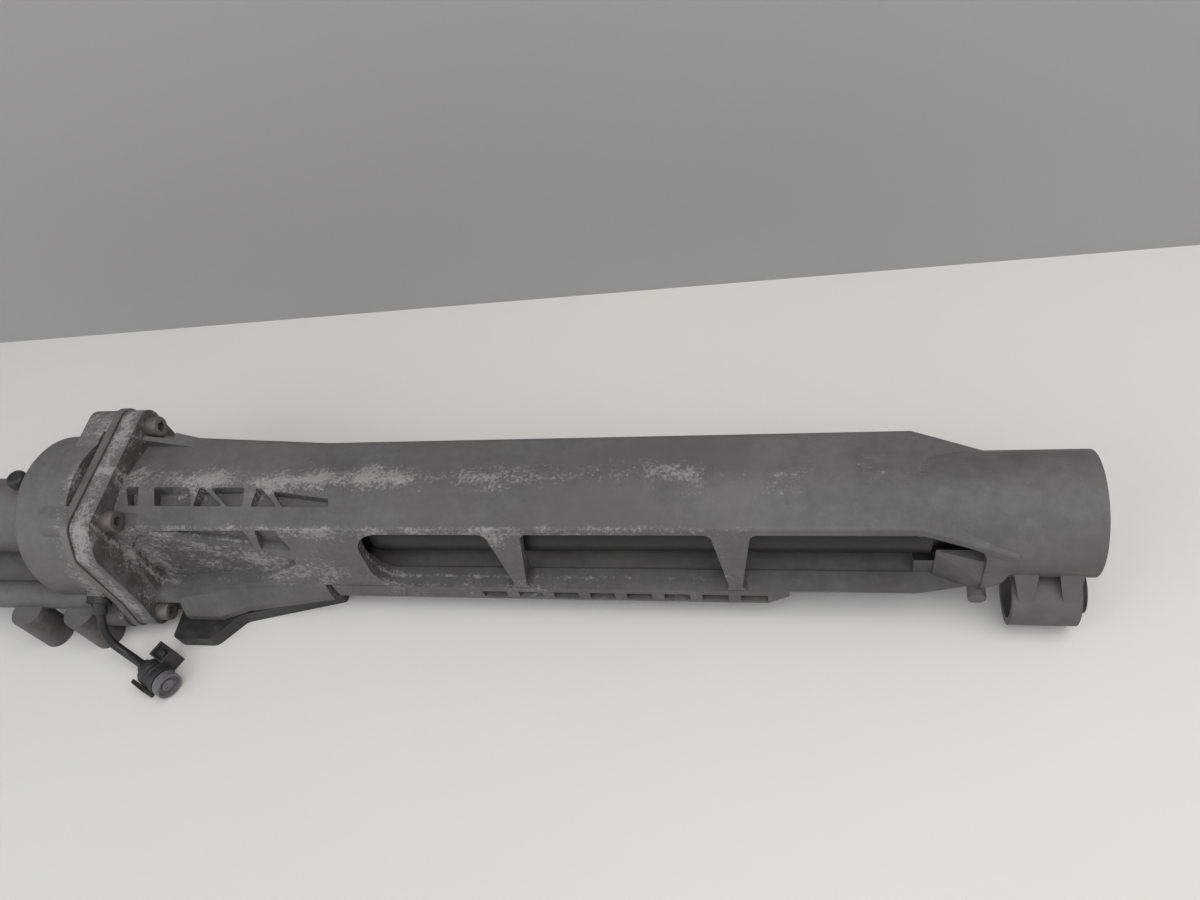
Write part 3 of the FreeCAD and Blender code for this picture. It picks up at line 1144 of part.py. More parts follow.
def build_connector():
    """The lead's connector: a round shell with a latch block, a seal ring and a clip."""
    turned = Rotation(Vector(0, 0, 1), -s.connector_turn.value)
    place = Placement(Vector(-s.connector_x.value, -s.connector_y.value,
                             -s.table_z.value + s.connector_od.value / 2), turned)
    body = new_body("connector_shell")
    turn(body, "Revolution", "shell", rod_outline([
        (0, s.fit_neck, s.lead_od + s.neck_wall * 2),
        (s.fit_neck, s.connector_length - s.connector_ring, s.connector_od)]))
    block = add_sketch(body, "block", "YZ_Plane", out=s.latch_start)
    low, side = -s.connector_od / 2, s.connector_od / 2
    high = low + s.latch_height
    polygon(block, [(s.latch_inset, low), (side + s.latch_width, low), (side + s.latch_width, high),
                    (s.latch_inset, high)])
    extrude(body, "Pad", block, s.latch_length)
    body.Placement = place
    body = new_body("connector_seal_ring")
    turn(body, "Revolution", "ring", rod_outline([
        (s.connector_length - s.connector_ring, s.connector_length, s.connector_od - 1)]))
    body.Placement = place
    body = new_body("connector_clip")
    clip = add_sketch(body, "clip", "YZ_Plane", out=s.latch_start * 2)
    far, near, high = -side - s.hook_reach, -side - s.hook_gap, low + s.hook_height
    polygon(clip, [(far, low), (near, low), (near, high), (far, high)])
    extrude(body, "Pad", clip, s.latch_length)
    body.Placement = place


def lead_points():
    """The lead's route from the sensor's outlet to the back of the connector."""
    angle = math.radians(s.sensor_angle.value)
    slope = math.radians(s.outlet_angle.value)
    reach = s.bell_od.value / 2 + s.sensor_boss.value + s.sensor_head.value / 2
    head = Vector(-s.sensor_x.value, -math.cos(angle) * reach, -math.sin(angle) * reach)
    out = Vector(0, -math.cos(slope), -math.sin(slope))
    start = head + out * s.outlet_length.value
    turned = Rotation(Vector(0, 0, 1), -s.connector_turn.value)
    end = Vector(-s.connector_x.value, -s.connector_y.value, -s.table_z.value + s.connector_od.value / 2)
    ahead = turned.multVec(Vector(1, 0, 0))
    joint = x_joint.value
    return [start, start + out * 7.65, Vector(joint - 13.8, -71.8, -36.7),
            Vector(joint - 6.2, -75.6, -45.3), end - ahead * 6.9, end]


def build_lead():
    """The lead as straight runs joined by tangent arcs, as large as the runs allow."""
    points = lead_points()
    edges = []
    radii = []
    last = points[0]
    for before, corner, after in zip(points, points[1:], points[2:]):
        enter, leave = corner - before, after - corner
        half_turn = enter.getAngle(leave) / 2
        cut = 0.45 * min(enter.Length, leave.Length)
        radii.append(cut / math.tan(half_turn))
        enter.normalize()
        leave.normalize()
        first, second = corner - enter * cut, corner + leave * cut
        inward = (leave - enter).normalize()
        centre = corner + inward * (radii[-1] / math.cos(half_turn))
        middle = centre + (corner - centre).normalize() * radii[-1]
        edges += [Part.LineSegment(last, first).toShape(), Part.Arc(first, middle, second).toShape()]
        last = second
    edges.append(Part.LineSegment(last, points[-1]).toShape())
    path = Part.Wire(edges)
    heading = points[1] - points[0]
    profile = Part.Wire(Part.makeCircle(s.lead_od.value / 2, points[0], heading))
    tube = path.makePipeShell([profile], True, False)
    lead = doc.addObject("Part::Feature", "sensor_lead")
    lead.Label = "sensor_lead"
    lead.Shape = tube
    bodies.append(lead)
    print("lead arc radii", [round(radius, 1) for radius in radii])
    print("lead length", round(path.Length, 1), "volume ratio",
          round(tube.Volume / (math.pi * (s.lead_od.value / 2) ** 2 * path.Length), 4))


build_carrier()
build_joint_plate()
build_gaskets()
build_flange_bolts()
build_dowels()
build_clutch_housing()
build_drive_shaft()
build_stub_shaft()
build_clutch_sleeve()
build_fork()
build_actuator()
bearing_places = {
    "outboard": -s.bearing_inset - s.bearing_width,
    "inboard": x_web_right - s.clip_groove * 2 - s.bearing_width,
    "stub": x_bell_end + s.bell_floor - s.clip_groove * 2 - s.bearing_width,
}
for prefix, x_left in bearing_places.items():
    build_bearing(prefix, x_left)
    build_snap_ring(f"{prefix}_snap_ring", x_left + s.bearing_width)
build_seal("outboard_seal", -s.seal_inset - s.seal_width, s.bearing_bore, s.bearing_od)
build_seal("stub_seal", x_spigot + s.seal_inset, s.stub_od, s.spigot_bore)
build_tone_ring()
build_bush()
build_sensor()
build_vent_cap()
build_connector()
build_lead()
doc.recompute()

for item in doc.Objects:
    if "Invalid" in item.State or "Error" in item.State:
        raise RuntimeError(f"{item.Label} failed: {item.State}")
for body in bodies:
    shape = body.Shape
    if shape.isNull() or not shape.isValid():
        raise RuntimeError(f"{body.Label} has no valid shape")
for body in bodies:
    body.Shape.exportStep(f"parts/{body.Label}.step")
print(len(bodies), "nodes written")
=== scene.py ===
# %% [markdown]
# A drive shaft unit in its cast carrier, dressed for a close look.
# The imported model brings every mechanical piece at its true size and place.
# This lesson adds the camera, the stage, the light and the finishes: oxidised cast
# aluminium, satin black steel, rubber and moulded plastic.
# Four things near the eye are modelled here in its place: the sensor's lead,
# the flange bolts, the lead's connector and the breather cap.

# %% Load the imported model
import math

import bpy
import bmesh
from mathutils import Matrix, Vector


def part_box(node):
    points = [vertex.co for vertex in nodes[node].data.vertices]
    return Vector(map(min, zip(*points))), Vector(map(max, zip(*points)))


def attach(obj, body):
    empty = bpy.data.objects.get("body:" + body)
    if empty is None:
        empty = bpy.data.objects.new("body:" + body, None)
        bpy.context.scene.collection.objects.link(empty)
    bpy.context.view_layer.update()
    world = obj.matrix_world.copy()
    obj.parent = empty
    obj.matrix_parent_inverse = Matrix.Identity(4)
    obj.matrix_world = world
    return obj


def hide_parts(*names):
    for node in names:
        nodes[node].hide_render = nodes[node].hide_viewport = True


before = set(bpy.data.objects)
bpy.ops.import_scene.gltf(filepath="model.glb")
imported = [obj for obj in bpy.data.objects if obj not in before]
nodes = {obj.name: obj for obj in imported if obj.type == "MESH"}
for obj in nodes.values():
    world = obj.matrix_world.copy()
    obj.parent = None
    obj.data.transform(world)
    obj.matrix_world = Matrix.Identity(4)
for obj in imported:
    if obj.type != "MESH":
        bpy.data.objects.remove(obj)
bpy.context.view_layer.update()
scene = bpy.context.scene

# %% [markdown]
# The camera comes first.
# It stands above and in front of the part, near its left third, and looks down steeply.
# Its three axes are written out as a matrix: right, up and backwards.
# The sensor and the focal length are in millimetres, all else in metres.

# %% Camera
right_way = Vector((0.975, 0.1131, -0.1912))
up_way = Vector((0.0175, 0.819, 0.5735))
back_way = Vector((0.2215, -0.5625, 0.7966))
camera_place = (-0.1263, -0.2784, 0.4585)
sensor_width, focal_length = 36.0, 28.5
nearest_seen = 0.01

camera_data = bpy.data.cameras.new("photo_camera")
camera_data.sensor_width = sensor_width
camera_data.lens = focal_length
camera_data.clip_start = nearest_seen
camera = bpy.data.objects.new("photo_camera", camera_data)
scene.collection.objects.link(camera)
turn = Matrix((right_way, up_way, back_way)).transposed().to_4x4()
camera.matrix_world = Matrix.Translation(camera_place) @ turn
scene.camera = camera
scene.view_settings.view_transform = "Standard"
print("camera at", [round(v, 3) for v in camera.location])

# %% [markdown]
# The part lies on a pale table with a plain grey wall behind it.
# Both are flat sheets, made with the plane primitive; they are not part of the object.
# Their paint is a material with a faint mottle, so they don't look like paper.
# It is clear from its back, so that the part can be looked at from behind and below.

# %% Stage
paint_mottle_scale, paint_mottle_detail = 3.0, 3.0
room_left, room_right, room_front, wall_height = -3.0, 2.5, -3.0, 1.8
wall_left_y, wall_right_y = 0.136, 0.334


def make_paint(name, pale, dark, rough):
    """Matt paint with a slow change of tone across the sheet."""
    paint = bpy.data.materials.new(name)
    paint.use_nodes = True
    tree = paint.node_tree
    shader = tree.nodes["Principled BSDF"]
    shader.inputs["Roughness"].default_value = rough
    place = tree.nodes.new("ShaderNodeTexCoord")
    noise = tree.nodes.new("ShaderNodeTexNoise")
    noise.inputs["Scale"].default_value = paint_mottle_scale
    noise.inputs["Detail"].default_value = paint_mottle_detail
    blend = tree.nodes.new("ShaderNodeMix")
    blend.data_type = "RGBA"
    blend.inputs["A"].default_value = (*dark, 1)
    blend.inputs["B"].default_value = (*pale, 1)
    tree.links.new(place.outputs["Object"], noise.inputs["Vector"])
    tree.links.new(noise.outputs["Fac"], blend.inputs["Factor"])
    tree.links.new(blend.outputs["Result"], shader.inputs["Base Color"])
    clear = tree.nodes.new("ShaderNodeBsdfTransparent")
    facing = tree.nodes.new("ShaderNodeNewGeometry")
    one_side = tree.nodes.new("ShaderNodeMixShader")
    tree.links.new(facing.outputs["Backfacing"], one_side.inputs[0])
    tree.links.new(shader.outputs["BSDF"], one_side.inputs[1])
    tree.links.new(clear.outputs["BSDF"], one_side.inputs[2])
    tree.links.new(one_side.outputs["Shader"], tree.nodes["Material Output"].inputs["Surface"])
    return paint


def add_sheet(name, corners, paint):
    """A flat stage sheet through four corner points."""
    bpy.ops.object.select_all(action="DESELECT")
    bpy.ops.mesh.primitive_plane_add(size=1)
    sheet = bpy.context.object
    sheet.name = name
    for vertex, corner in zip(sheet.data.vertices, corners):
        vertex.co = corner
    sheet.data.materials.append(paint)
    return sheet


table_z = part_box("actuator_housing")[0].z
table_paint = make_paint("table_paint", pale=(0.76, 0.735, 0.70), dark=(0.70, 0.675, 0.64), rough=0.6)
wall_paint = make_paint("wall_paint", pale=(0.40, 0.39, 0.385), dark=(0.36, 0.355, 0.35), rough=0.8)
wall_left = Vector((room_left, wall_left_y, table_z))
wall_right = Vector((room_right, wall_right_y, table_z))
wall_up = Vector((0, 0, wall_height))
front_left, front_right = (room_left, room_front, table_z), (room_right, room_front, table_z)
add_sheet("table_sheet", [front_left, front_right, wall_left, wall_right], table_paint)
add_sheet("wall_sheet", [wall_left, wall_right, wall_left + wall_up, wall_right + wall_up], wall_paint)
print("table at", round(table_z, 4))

# %% [markdown]
# The only cord is the speed sensor's short lead, a limp two-core cable in a rubber jacket.
# It leaves the sensor's outlet downwards, bends forward and lies down into the connector.
# Its line is one NURBS spline through a few points, so it bends as smoothly as rubber does.
# The bevel of the curve gives it its round section, and each point's radius its thickness.
# A point left at a radius of 1 would put a metre on each side of the curve's box.

# %% Sensor lead
lead_diameter = 0.0055
lead_route = [(-0.5715, -0.05968, -0.02152), (-0.5715, -0.06554, -0.02644), (-0.5698, -0.0718, -0.0367),
              (-0.5622, -0.0756, -0.0453), (-0.5531, -0.0798, -0.0485), (-0.547, -0.083, -0.0485)]
lead_curve = bpy.data.curves.new("lead", "CURVE")
lead_curve.dimensions = "3D"
lead_curve.bevel_depth = 1.0
lead_curve.bevel_resolution = 6
lead_curve.use_fill_caps = True
lead_spline = lead_curve.splines.new("NURBS")
lead_spline.points.add(len(lead_route) - 1)
for point, place in zip(lead_spline.points, lead_route):
    point.co = (*place, 1)
    point.radius = lead_diameter / 2
lead_spline.order_u = 3
lead_spline.use_endpoint_u = True
lead_spline.resolution_u = 16
lead = bpy.data.objects.new("lead", lead_curve)
scene.collection.objects.link(lead)
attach(lead, "housing")
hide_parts("sensor_lead")
print("lead of", len(lead_route), "points")

# %% [markdown]
# The light is a plain, soft daylight.
# The world gives an even fill, and two wide area lamps from above give the slow
# shading that shows the casting's roundness.

# %% Light
sky_tint, sky_strength = (0.93, 0.96, 1.0), 0.55

world = bpy.data.worlds.new("soft_room")
scene.world = world
world.use_nodes = True
world.node_tree.nodes["Background"].inputs["Color"].default_value = (*sky_tint, 1)
world.node_tree.nodes["Background"].inputs["Strength"].default_value = sky_strength


def add_lamp(name, place, aim, size, watts, tint):
    """A soft rectangular lamp that faces the point aim."""
    lamp_data = bpy.data.lights.new(name, "AREA")
    lamp_data.shape = "RECTANGLE"
    lamp_data.size, lamp_data.size_y = size
    lamp_data.energy = watts
    lamp_data.color = tint
    lamp = bpy.data.objects.new(name, lamp_data)
    scene.collection.objects.link(lamp)
    lamp.location = place
    lamp.rotation_euler = (Vector(aim) - Vector(place)).to_track_quat("-Z", "Y").to_euler()
    return lamp


add_lamp("window_light", place=(0.3, -0.1, 1.3), aim=(-0.25, 0.05, 0), size=(1.6, 1.2), watts=16,
         tint=(1.0, 0.985, 0.96))
add_lamp("room_fill", place=(-1.2, -0.9, 0.9), aim=(-0.4, 0, 0), size=(1.2, 1.0), watts=5,
         tint=(0.95, 0.97, 1.0))
print("lights set")

# %% [markdown]
# Several finishes share the same effects, so each effect is a node group.
# A small helper adds nodes and joins them, which keeps the recipes readable.
# Every group gives out only a colour, a mask or a height.
# Further on, a noise is written as its scale, detail and roughness,
# and a range as the value where an effect starts and the value where it is full.

# %% Node helpers
def add_node(tree, kind, **values):
    """A node with its sockets filled: a number, a colour or a link from another node."""
    node = tree.nodes.new(kind)
    for name, value in values.items():
        if hasattr(node, name):
            setattr(node, name, value)
            continue
        socket = node.inputs[name.replace("_", " ")]
        if isinstance(value, bpy.types.NodeSocket):
            tree.links.new(value, socket)
        else:
            socket.default_value = value
    return node


def add_math(tree, operation, first, second=0.0, clamp=False):
    """One sum, product or other operation on two numbers or links."""
    node = tree.nodes.new("ShaderNodeMath")
    node.operation = operation
    node.use_clamp = clamp
    for index, value in enumerate((first, second)):
        if isinstance(value, bpy.types.NodeSocket):
            tree.links.new(value, node.inputs[index])
        else:
            node.inputs[index].default_value = value
    return node.outputs[0]


def add_mix(tree, amount, first, second):
    """A colour between two others."""
    node = tree.nodes.new("ShaderNodeMix")
    node.data_type = "RGBA"
    for name, value in (("Factor", amount), ("A", first), ("B", second)):
        socket = next(item for item in node.inputs if item.name == name and item.enabled)
        if isinstance(value, bpy.types.NodeSocket):
            tree.links.new(value, socket)
        elif name == "Factor":
            socket.default_value = value
        else:
            socket.default_value = (*value, 1)
    return next(item for item in node.outputs if item.enabled)


def add_noise(tree, place, scale, detail, roughness):
    """A noise from 0 to 1; scale is in cells to the metre."""
    noise = add_node(tree, "ShaderNodeTexNoise", Scale=scale, Detail=detail, Roughness=roughness)
    tree.links.new(place, noise.inputs["Vector"])
    return noise.outputs["Fac"]


def add_ramp(tree, value, low, high):
    """0 below low, 1 above high, smooth between."""
    ramp = tree.nodes.new("ShaderNodeMapRange")
    ramp.interpolation_type = "SMOOTHSTEP"
    ramp.inputs["From Min"].default_value = low
    ramp.inputs["From Max"].default_value = high
    tree.links.new(value, ramp.inputs["Value"])
    return ramp.outputs["Result"]


def new_group(name, inputs, outputs):
    """An empty shader group: inputs and outputs map a socket's name to its kind."""
    group = bpy.data.node_groups.new(name, "ShaderNodeTree")
    kinds = {"number": "NodeSocketFloat", "colour": "NodeSocketColor", "vector": "NodeSocketVector"}
    for socket, kind in inputs.items():
        group.interface.new_socket(socket, in_out="INPUT", socket_type=kinds[kind])
    for socket, kind in outputs.items():
        group.interface.new_socket(socket, in_out="OUTPUT", socket_type=kinds[kind])
    way_in = group.nodes.new("NodeGroupInput")
    way_out = group.nodes.new("NodeGroupOutput")
    return group, way_in.outputs, way_out.inputs


def use_group(tree, group, **values):
    """A group in a tree, with its sockets filled."""
    node = tree.nodes.new("ShaderNodeGroup")
    node.node_tree = group
    for name, value in values.items():
        socket = node.inputs[name.replace("_", " ")]
        if isinstance(value, bpy.types.NodeSocket):
            tree.links.new(value, socket)
        elif isinstance(value, tuple) and len(value) == 3:
            socket.default_value = (*value, 1)
        else:
            socket.default_value = value
    return node.outputs


print("helpers ready")

# %% [markdown]
# An as-cast skin has three scales of change.
# Slow clouds come from handling and oxide, a middle mottle from the mould,
# and a fine grain from the metal itself.
# Noise textures at three sizes, mixed in one group, give all of them.

# %% Group: cast skin
cloud_noise, mottle_noise, grain_noise = (16.0, 5.0, 0.6), (150.0, 5.0, 0.6), (1500.0, 3.0, 0.6)
cloud_share, mottle_share, grain_share = 0.55, 0.3, 0.15
tint_noise = (11.0, 4.0, 0.55)
pale_range, tint_range = (0.30, 0.68), (0.45, 0.75)
mottle_height = 0.6

cast_skin, skin_in, skin_out = new_group(
    "cast_skin",
    {"Place": "vector", "Pale": "colour", "Deep": "colour", "Tint": "colour"},
    {"Color": "colour", "Height": "number"})
clouds = add_noise(cast_skin, skin_in["Place"], *cloud_noise)
mottle = add_noise(cast_skin, skin_in["Place"], *mottle_noise)
grain = add_noise(cast_skin, skin_in["Place"], *grain_noise)
small_change = add_math(cast_skin, "ADD", add_math(cast_skin, "MULTIPLY", mottle, mottle_share),
                        add_math(cast_skin, "MULTIPLY", grain, grain_share))
tone = add_math(cast_skin, "ADD", add_math(cast_skin, "MULTIPLY", clouds, cloud_share), small_change)
plain = add_mix(cast_skin, add_ramp(cast_skin, tone, *pale_range), skin_in["Deep"], skin_in["Pale"])
tint_patches = add_ramp(cast_skin, add_noise(cast_skin, skin_in["Place"], *tint_noise), *tint_range)
cast_skin.links.new(add_mix(cast_skin, tint_patches, plain, skin_in["Tint"]), skin_out["Color"])
rises = add_math(cast_skin, "MULTIPLY", mottle, mottle_height)
cast_skin.links.new(add_math(cast_skin, "ADD", rises, grain), skin_out["Height"])
print("group", cast_skin.name, len(cast_skin.nodes))

# %% [markdown]
# Road salt leaves white oxide on the casting's exposed edges.
# It grows as crumbs of about a millimetre that gather in patches.
# The crumbs are a fine noise cut off high, and a slower noise decides where patches are.
# The Amount socket says how exposed a place is.

# %% Group: salt crumbs
crumb_noise, patch_noise = (480.0, 8.0, 0.78), (38.0, 6.0, 0.72)
amount_share, patch_share, crumb_share = 0.3, 0.55, 0.62
salt_range = (0.72, 0.83)

salt_crumbs, salt_in, salt_out = new_group(
    "salt_crumbs", {"Place": "vector", "Amount": "number"}, {"Mask": "number"})
crumbs = add_noise(salt_crumbs, salt_in["Place"], *crumb_noise)
patches = add_noise(salt_crumbs, salt_in["Place"], *patch_noise)
exposed = add_math(salt_crumbs, "ADD", add_math(salt_crumbs, "MULTIPLY", salt_in["Amount"], amount_share),
                   add_math(salt_crumbs, "MULTIPLY", patches, patch_share))
level = add_math(salt_crumbs, "ADD", exposed, add_math(salt_crumbs, "MULTIPLY", crumbs, crumb_share))
salt_crumbs.links.new(add_ramp(salt_crumbs, level, *salt_range), salt_out["Mask"])
print("group", salt_crumbs.name, len(salt_crumbs.nodes))

# %% [markdown]
# A band is a stripe along the part, such as the roof's crest or the flange's edge.
# It is 1 at its centre line and fades to 0 at its half width.

# %% Group: band
stripe, stripe_in, stripe_out = new_group(
    "band", {"Value": "number", "Centre": "number", "Half": "number"}, {"Mask": "number"})
distance = add_math(stripe, "ABSOLUTE", add_math(stripe, "SUBTRACT", stripe_in["Value"], stripe_in["Centre"]))
share = add_math(stripe, "DIVIDE", distance, stripe_in["Half"])
stripe.links.new(add_math(stripe, "SUBTRACT", 1.0, share, clamp=True), stripe_out["Mask"])
print("group", stripe.name, len(stripe.nodes))

# %% [markdown]
# The casting's own finish puts the three groups together.
# Salt is strongest along the roof's crest, the front ledge and the joint flange, so the band group reads the
# object's own coordinates there; along the crest the pale band is also a painted highlight.
# Brown dirt settles in patches where a face points to +X or down, out of the rain's way, and the same brown
# there is also painted shade on faces turned from the light.
# The Principled shader stays in the material, with plain numbers on its sockets.

# %% Cast finishes
salt_colour, salt_cover = (0.40, 0.385, 0.36), 0.62
# The grime and facing numbers below lay dirt and painted shade together on faces that point to +X or down.
grime_and_shade_noise, grime_and_shade_range, grime_and_shade_cover = (90.0, 5.0, 0.65), (0.25, 0.6), 0.75
sideways_range, not_down_range = (0.25, 0.9), (-0.5, 0.35)
cast_specular = 0.35
cast_roughness, skin_roughness, salt_roughness = 0.46, 0.12, 0.2
cast_bump, cast_bump_height = 0.55, 0.0002


def make_cast(name, pale, deep, tint, dirt, salt, bands):
    """Oxidised cast aluminium. bands: (axis, centre, half width, strength, X start, X end), metres."""
    finish = bpy.data.materials.new(name)
    finish.use_nodes = True
    tree = finish.node_tree
    shader = tree.nodes["Principled BSDF"]
    shader.inputs["Metallic"].default_value = 0.0
    shader.inputs["Specular IOR Level"].default_value = cast_specular
    place = tree.nodes.new("ShaderNodeTexCoord").outputs["Object"]
    axes = add_node(tree, "ShaderNodeSeparateXYZ", Vector=place).outputs
    skin = use_group(tree, cast_skin, Place=place, Pale=pale, Deep=deep, Tint=tint)
    amount = None
    for axis, centre, half, strength, x_full, x_none in bands:
        mask = use_group(tree, stripe, Value=axes[axis], Centre=centre, Half=half)["Mask"]
        fade = add_math(tree, "SUBTRACT", 1.0, add_ramp(tree, axes["X"], x_full, x_none))
        mask = add_math(tree, "MULTIPLY", mask, add_math(tree, "MULTIPLY", fade, strength))
        amount = mask if amount is None else add_math(tree, "MAXIMUM", amount, mask)
    amount = add_math(tree, "ADD", amount, salt)
    crumbs_mask = use_group(tree, salt_crumbs, Place=place, Amount=amount)["Mask"]
    # Faces that point to +X or down take the dark brown: partly dirt, partly painted shade.
    facing = add_node(tree, "ShaderNodeSeparateXYZ",
                      Vector=tree.nodes.new("ShaderNodeTexCoord").outputs["Normal"]).outputs
    sideways = add_ramp(tree, facing["X"], *sideways_range)
    downwards = add_math(tree, "SUBTRACT", 1.0, add_ramp(tree, facing["Z"], *not_down_range))
    sheltered_and_shaded = add_math(tree, "ADD", sideways, downwards, clamp=True)
    settled = add_ramp(tree, add_noise(tree, place, *grime_and_shade_noise), *grime_and_shade_range)
    grime_and_shade = add_math(tree, "MULTIPLY", sheltered_and_shaded, add_math(tree, "MULTIPLY", settled, grime_and_shade_cover))
    soiled_and_shaded = add_mix(tree, grime_and_shade, skin["Color"], dirt)
    colour = add_mix(tree, add_math(tree, "MULTIPLY", crumbs_mask, salt_cover), soiled_and_shaded, salt_colour)
    tree.links.new(colour, shader.inputs["Base Color"])
    skin_rough = add_math(tree, "MULTIPLY", skin["Height"], skin_roughness)
    skin_rough = add_math(tree, "ADD", skin_rough, cast_roughness)
    salt_rough = add_math(tree, "MULTIPLY", crumbs_mask, salt_roughness)
    tree.links.new(add_math(tree, "ADD", skin_rough, salt_rough), shader.inputs["Roughness"])
    height = add_math(tree, "ADD", skin["Height"], crumbs_mask)
    bump = add_node(tree, "ShaderNodeBump", Strength=cast_bump, Distance=cast_bump_height, Height=height)
    tree.links.new(bump.outputs["Normal"], shader.inputs["Normal"])
    return finish


def dress(finish, *names):
    """Puts one finish on all of a node's material slots."""
    for name in names:
        mesh = nodes[name].data
        mesh.materials.clear()
        mesh.materials.append(finish)


# The crest's band is salt crumbs and also a painted highlight along the roof's bend line.
crest_salt_and_highlight = ("Y", 0.004, 0.018, 0.72, -0.42, 0.10)
front_shoulder = ("Y", -0.0275, 0.005, 0.6, -0.35, 0.05)
front_ledge = ("Y", -0.0335, 0.006, 0.50, -0.40, 0.05)
flange_edge = ("X", -0.551, 0.015, 0.7, 0.0, 0.1)
bell_edge = ("X", -0.563, 0.022, 0.45, 0.0, 0.1)
# The dirt colour given here is both dirt and painted shade on faces that point to +X or down.
carrier_cast = make_cast(
    "carrier_cast", pale=(0.150, 0.142, 0.140), deep=(0.088, 0.082, 0.081), tint=(0.118, 0.102, 0.098),
    dirt=(0.048, 0.038, 0.032), salt=0.03, bands=[crest_salt_and_highlight, front_shoulder, front_ledge, flange_edge])
bell_cast = make_cast(
    "bell_cast", pale=(0.160, 0.150, 0.147), deep=(0.095, 0.088, 0.087), tint=(0.128, 0.112, 0.108),
    dirt=(0.050, 0.041, 0.036), salt=0.12, bands=[bell_edge])
dress(carrier_cast, "carrier_housing")
dress(bell_cast, "clutch_housing")
print("cast finishes on the carrier and the clutch housing")

# %% [markdown]
# Machined and coated steel pieces share one recipe: a tone, a fine mottle and a little dirt.
# The numbers that are even over the surface stay on the shader's own sockets.

# %% Steel finishes
metal_grain_noise, metal_patch_noise = (300.0, 4.0, 0.55), (70.0, 5.0, 0.65)
metal_patch_range = (0.45, 0.75)
grain_dirt, grain_roughness, roughness_drop = 0.3, 0.25, 0.12
metal_bump, metal_bump_height = 0.3, 0.0001


def make_metal(name, tone, dirt, metallic, rough, dirty=0.5):
    """A metal with a faint mottle and brown dirt in patches."""
    finish = bpy.data.materials.new(name)
    finish.use_nodes = True
    tree = finish.node_tree
    shader = tree.nodes["Principled BSDF"]
    shader.inputs["Metallic"].default_value = metallic
    place = tree.nodes.new("ShaderNodeTexCoord").outputs["Object"]
    fine = add_noise(tree, place, *metal_grain_noise)
    patch = add_ramp(tree, add_noise(tree, place, *metal_patch_noise), *metal_patch_range)
    colour = add_mix(tree, add_math(tree, "MULTIPLY", patch, dirty), tone, dirt)
    colour = add_mix(tree, add_math(tree, "MULTIPLY", fine, grain_dirt), colour, dirt)
    tree.links.new(colour, shader.inputs["Base Color"])
    swing = add_math(tree, "MULTIPLY", fine, grain_roughness)
    tree.links.new(add_math(tree, "ADD", swing, rough - roughness_drop), shader.inputs["Roughness"])
    bump = add_node(tree, "ShaderNodeBump", Strength=metal_bump, Distance=metal_bump_height, Height=fine)
    tree.links.new(bump.outputs["Normal"], shader.inputs["Normal"])
    return finish


# The shaft's tone is near pure black with little dust: its own black coat, also darkened as painted shade
# from the casting around it.
black_coat_and_shade = make_metal("black_coat_and_shade", tone=(0.005, 0.005, 0.0055), dirt=(0.018, 0.016, 0.015),
                        metallic=0.0, rough=0.40, dirty=0.25)
turned_steel = make_metal("turned_steel", tone=(0.40, 0.39, 0.38), dirt=(0.20, 0.17, 0.14),
                          metallic=0.9, rough=0.36)
ground_steel = make_metal("ground_steel", tone=(0.55, 0.55, 0.56), dirt=(0.35, 0.33, 0.30),
                          metallic=1.0, rough=0.25, dirty=0.3)
dull_bolt = make_metal("dull_bolt", tone=(0.19, 0.165, 0.150), dirt=(0.10, 0.075, 0.060),
                       metallic=0.6, rough=0.55, dirty=0.6)
spring_steel = make_metal("spring_steel", tone=(0.10, 0.10, 0.11), dirt=(0.06, 0.05, 0.045),
                          metallic=0.8, rough=0.4)
fork_iron = make_metal("fork_iron", tone=(0.20, 0.19, 0.18), dirt=(0.12, 0.10, 0.08),
                       metallic=0.7, rough=0.55)
screw_brass = make_metal("screw_brass", tone=(0.58, 0.44, 0.20), dirt=(0.30, 0.21, 0.10),
                         metallic=1.0, rough=0.32)
plate_metal = make_metal("plate_metal", tone=(0.20, 0.185, 0.172), dirt=(0.10, 0.088, 0.080),
                         metallic=0.5, rough=0.5)
bearing_rings = [f"{place}_bearing_{ring}" for place in ("outboard", "inboard", "stub")
                 for ring in ("inner", "outer", "cage")]
dress(black_coat_and_shade, "drive_shaft")
dress(turned_steel, "stub_shaft", "clutch_sleeve")
dress(ground_steel, "tone_ring", "dowel_pins", "fork_rail", "actuator_motor", *bearing_rings)
dress(dull_bolt, "flange_bolts", "actuator_screws", "bush_outer_sleeve", "bush_inner_sleeve")
dress(spring_steel, "outboard_snap_ring", "inboard_snap_ring", "stub_snap_ring")
dress(fork_iron, "shift_fork")
dress(screw_brass, "actuator_screw")
dress(plate_metal, "joint_plate")
print("steel finishes done")

# %% [markdown]
# Rubber and moulded plastic are dark and fine grained, with grey dust on them.
# Dust is the same noise patch, lighter than the piece, so the parts don't read as holes.

# %% Rubber and plastic finishes
moulded_grain_noise, dust_noise, dust_range = (900.0, 2.0, 0.55), (120.0, 5.0, 0.7), (0.4, 0.75)
dust_roughness = 0.25
moulded_bump, moulded_bump_height = 0.4, 0.00008


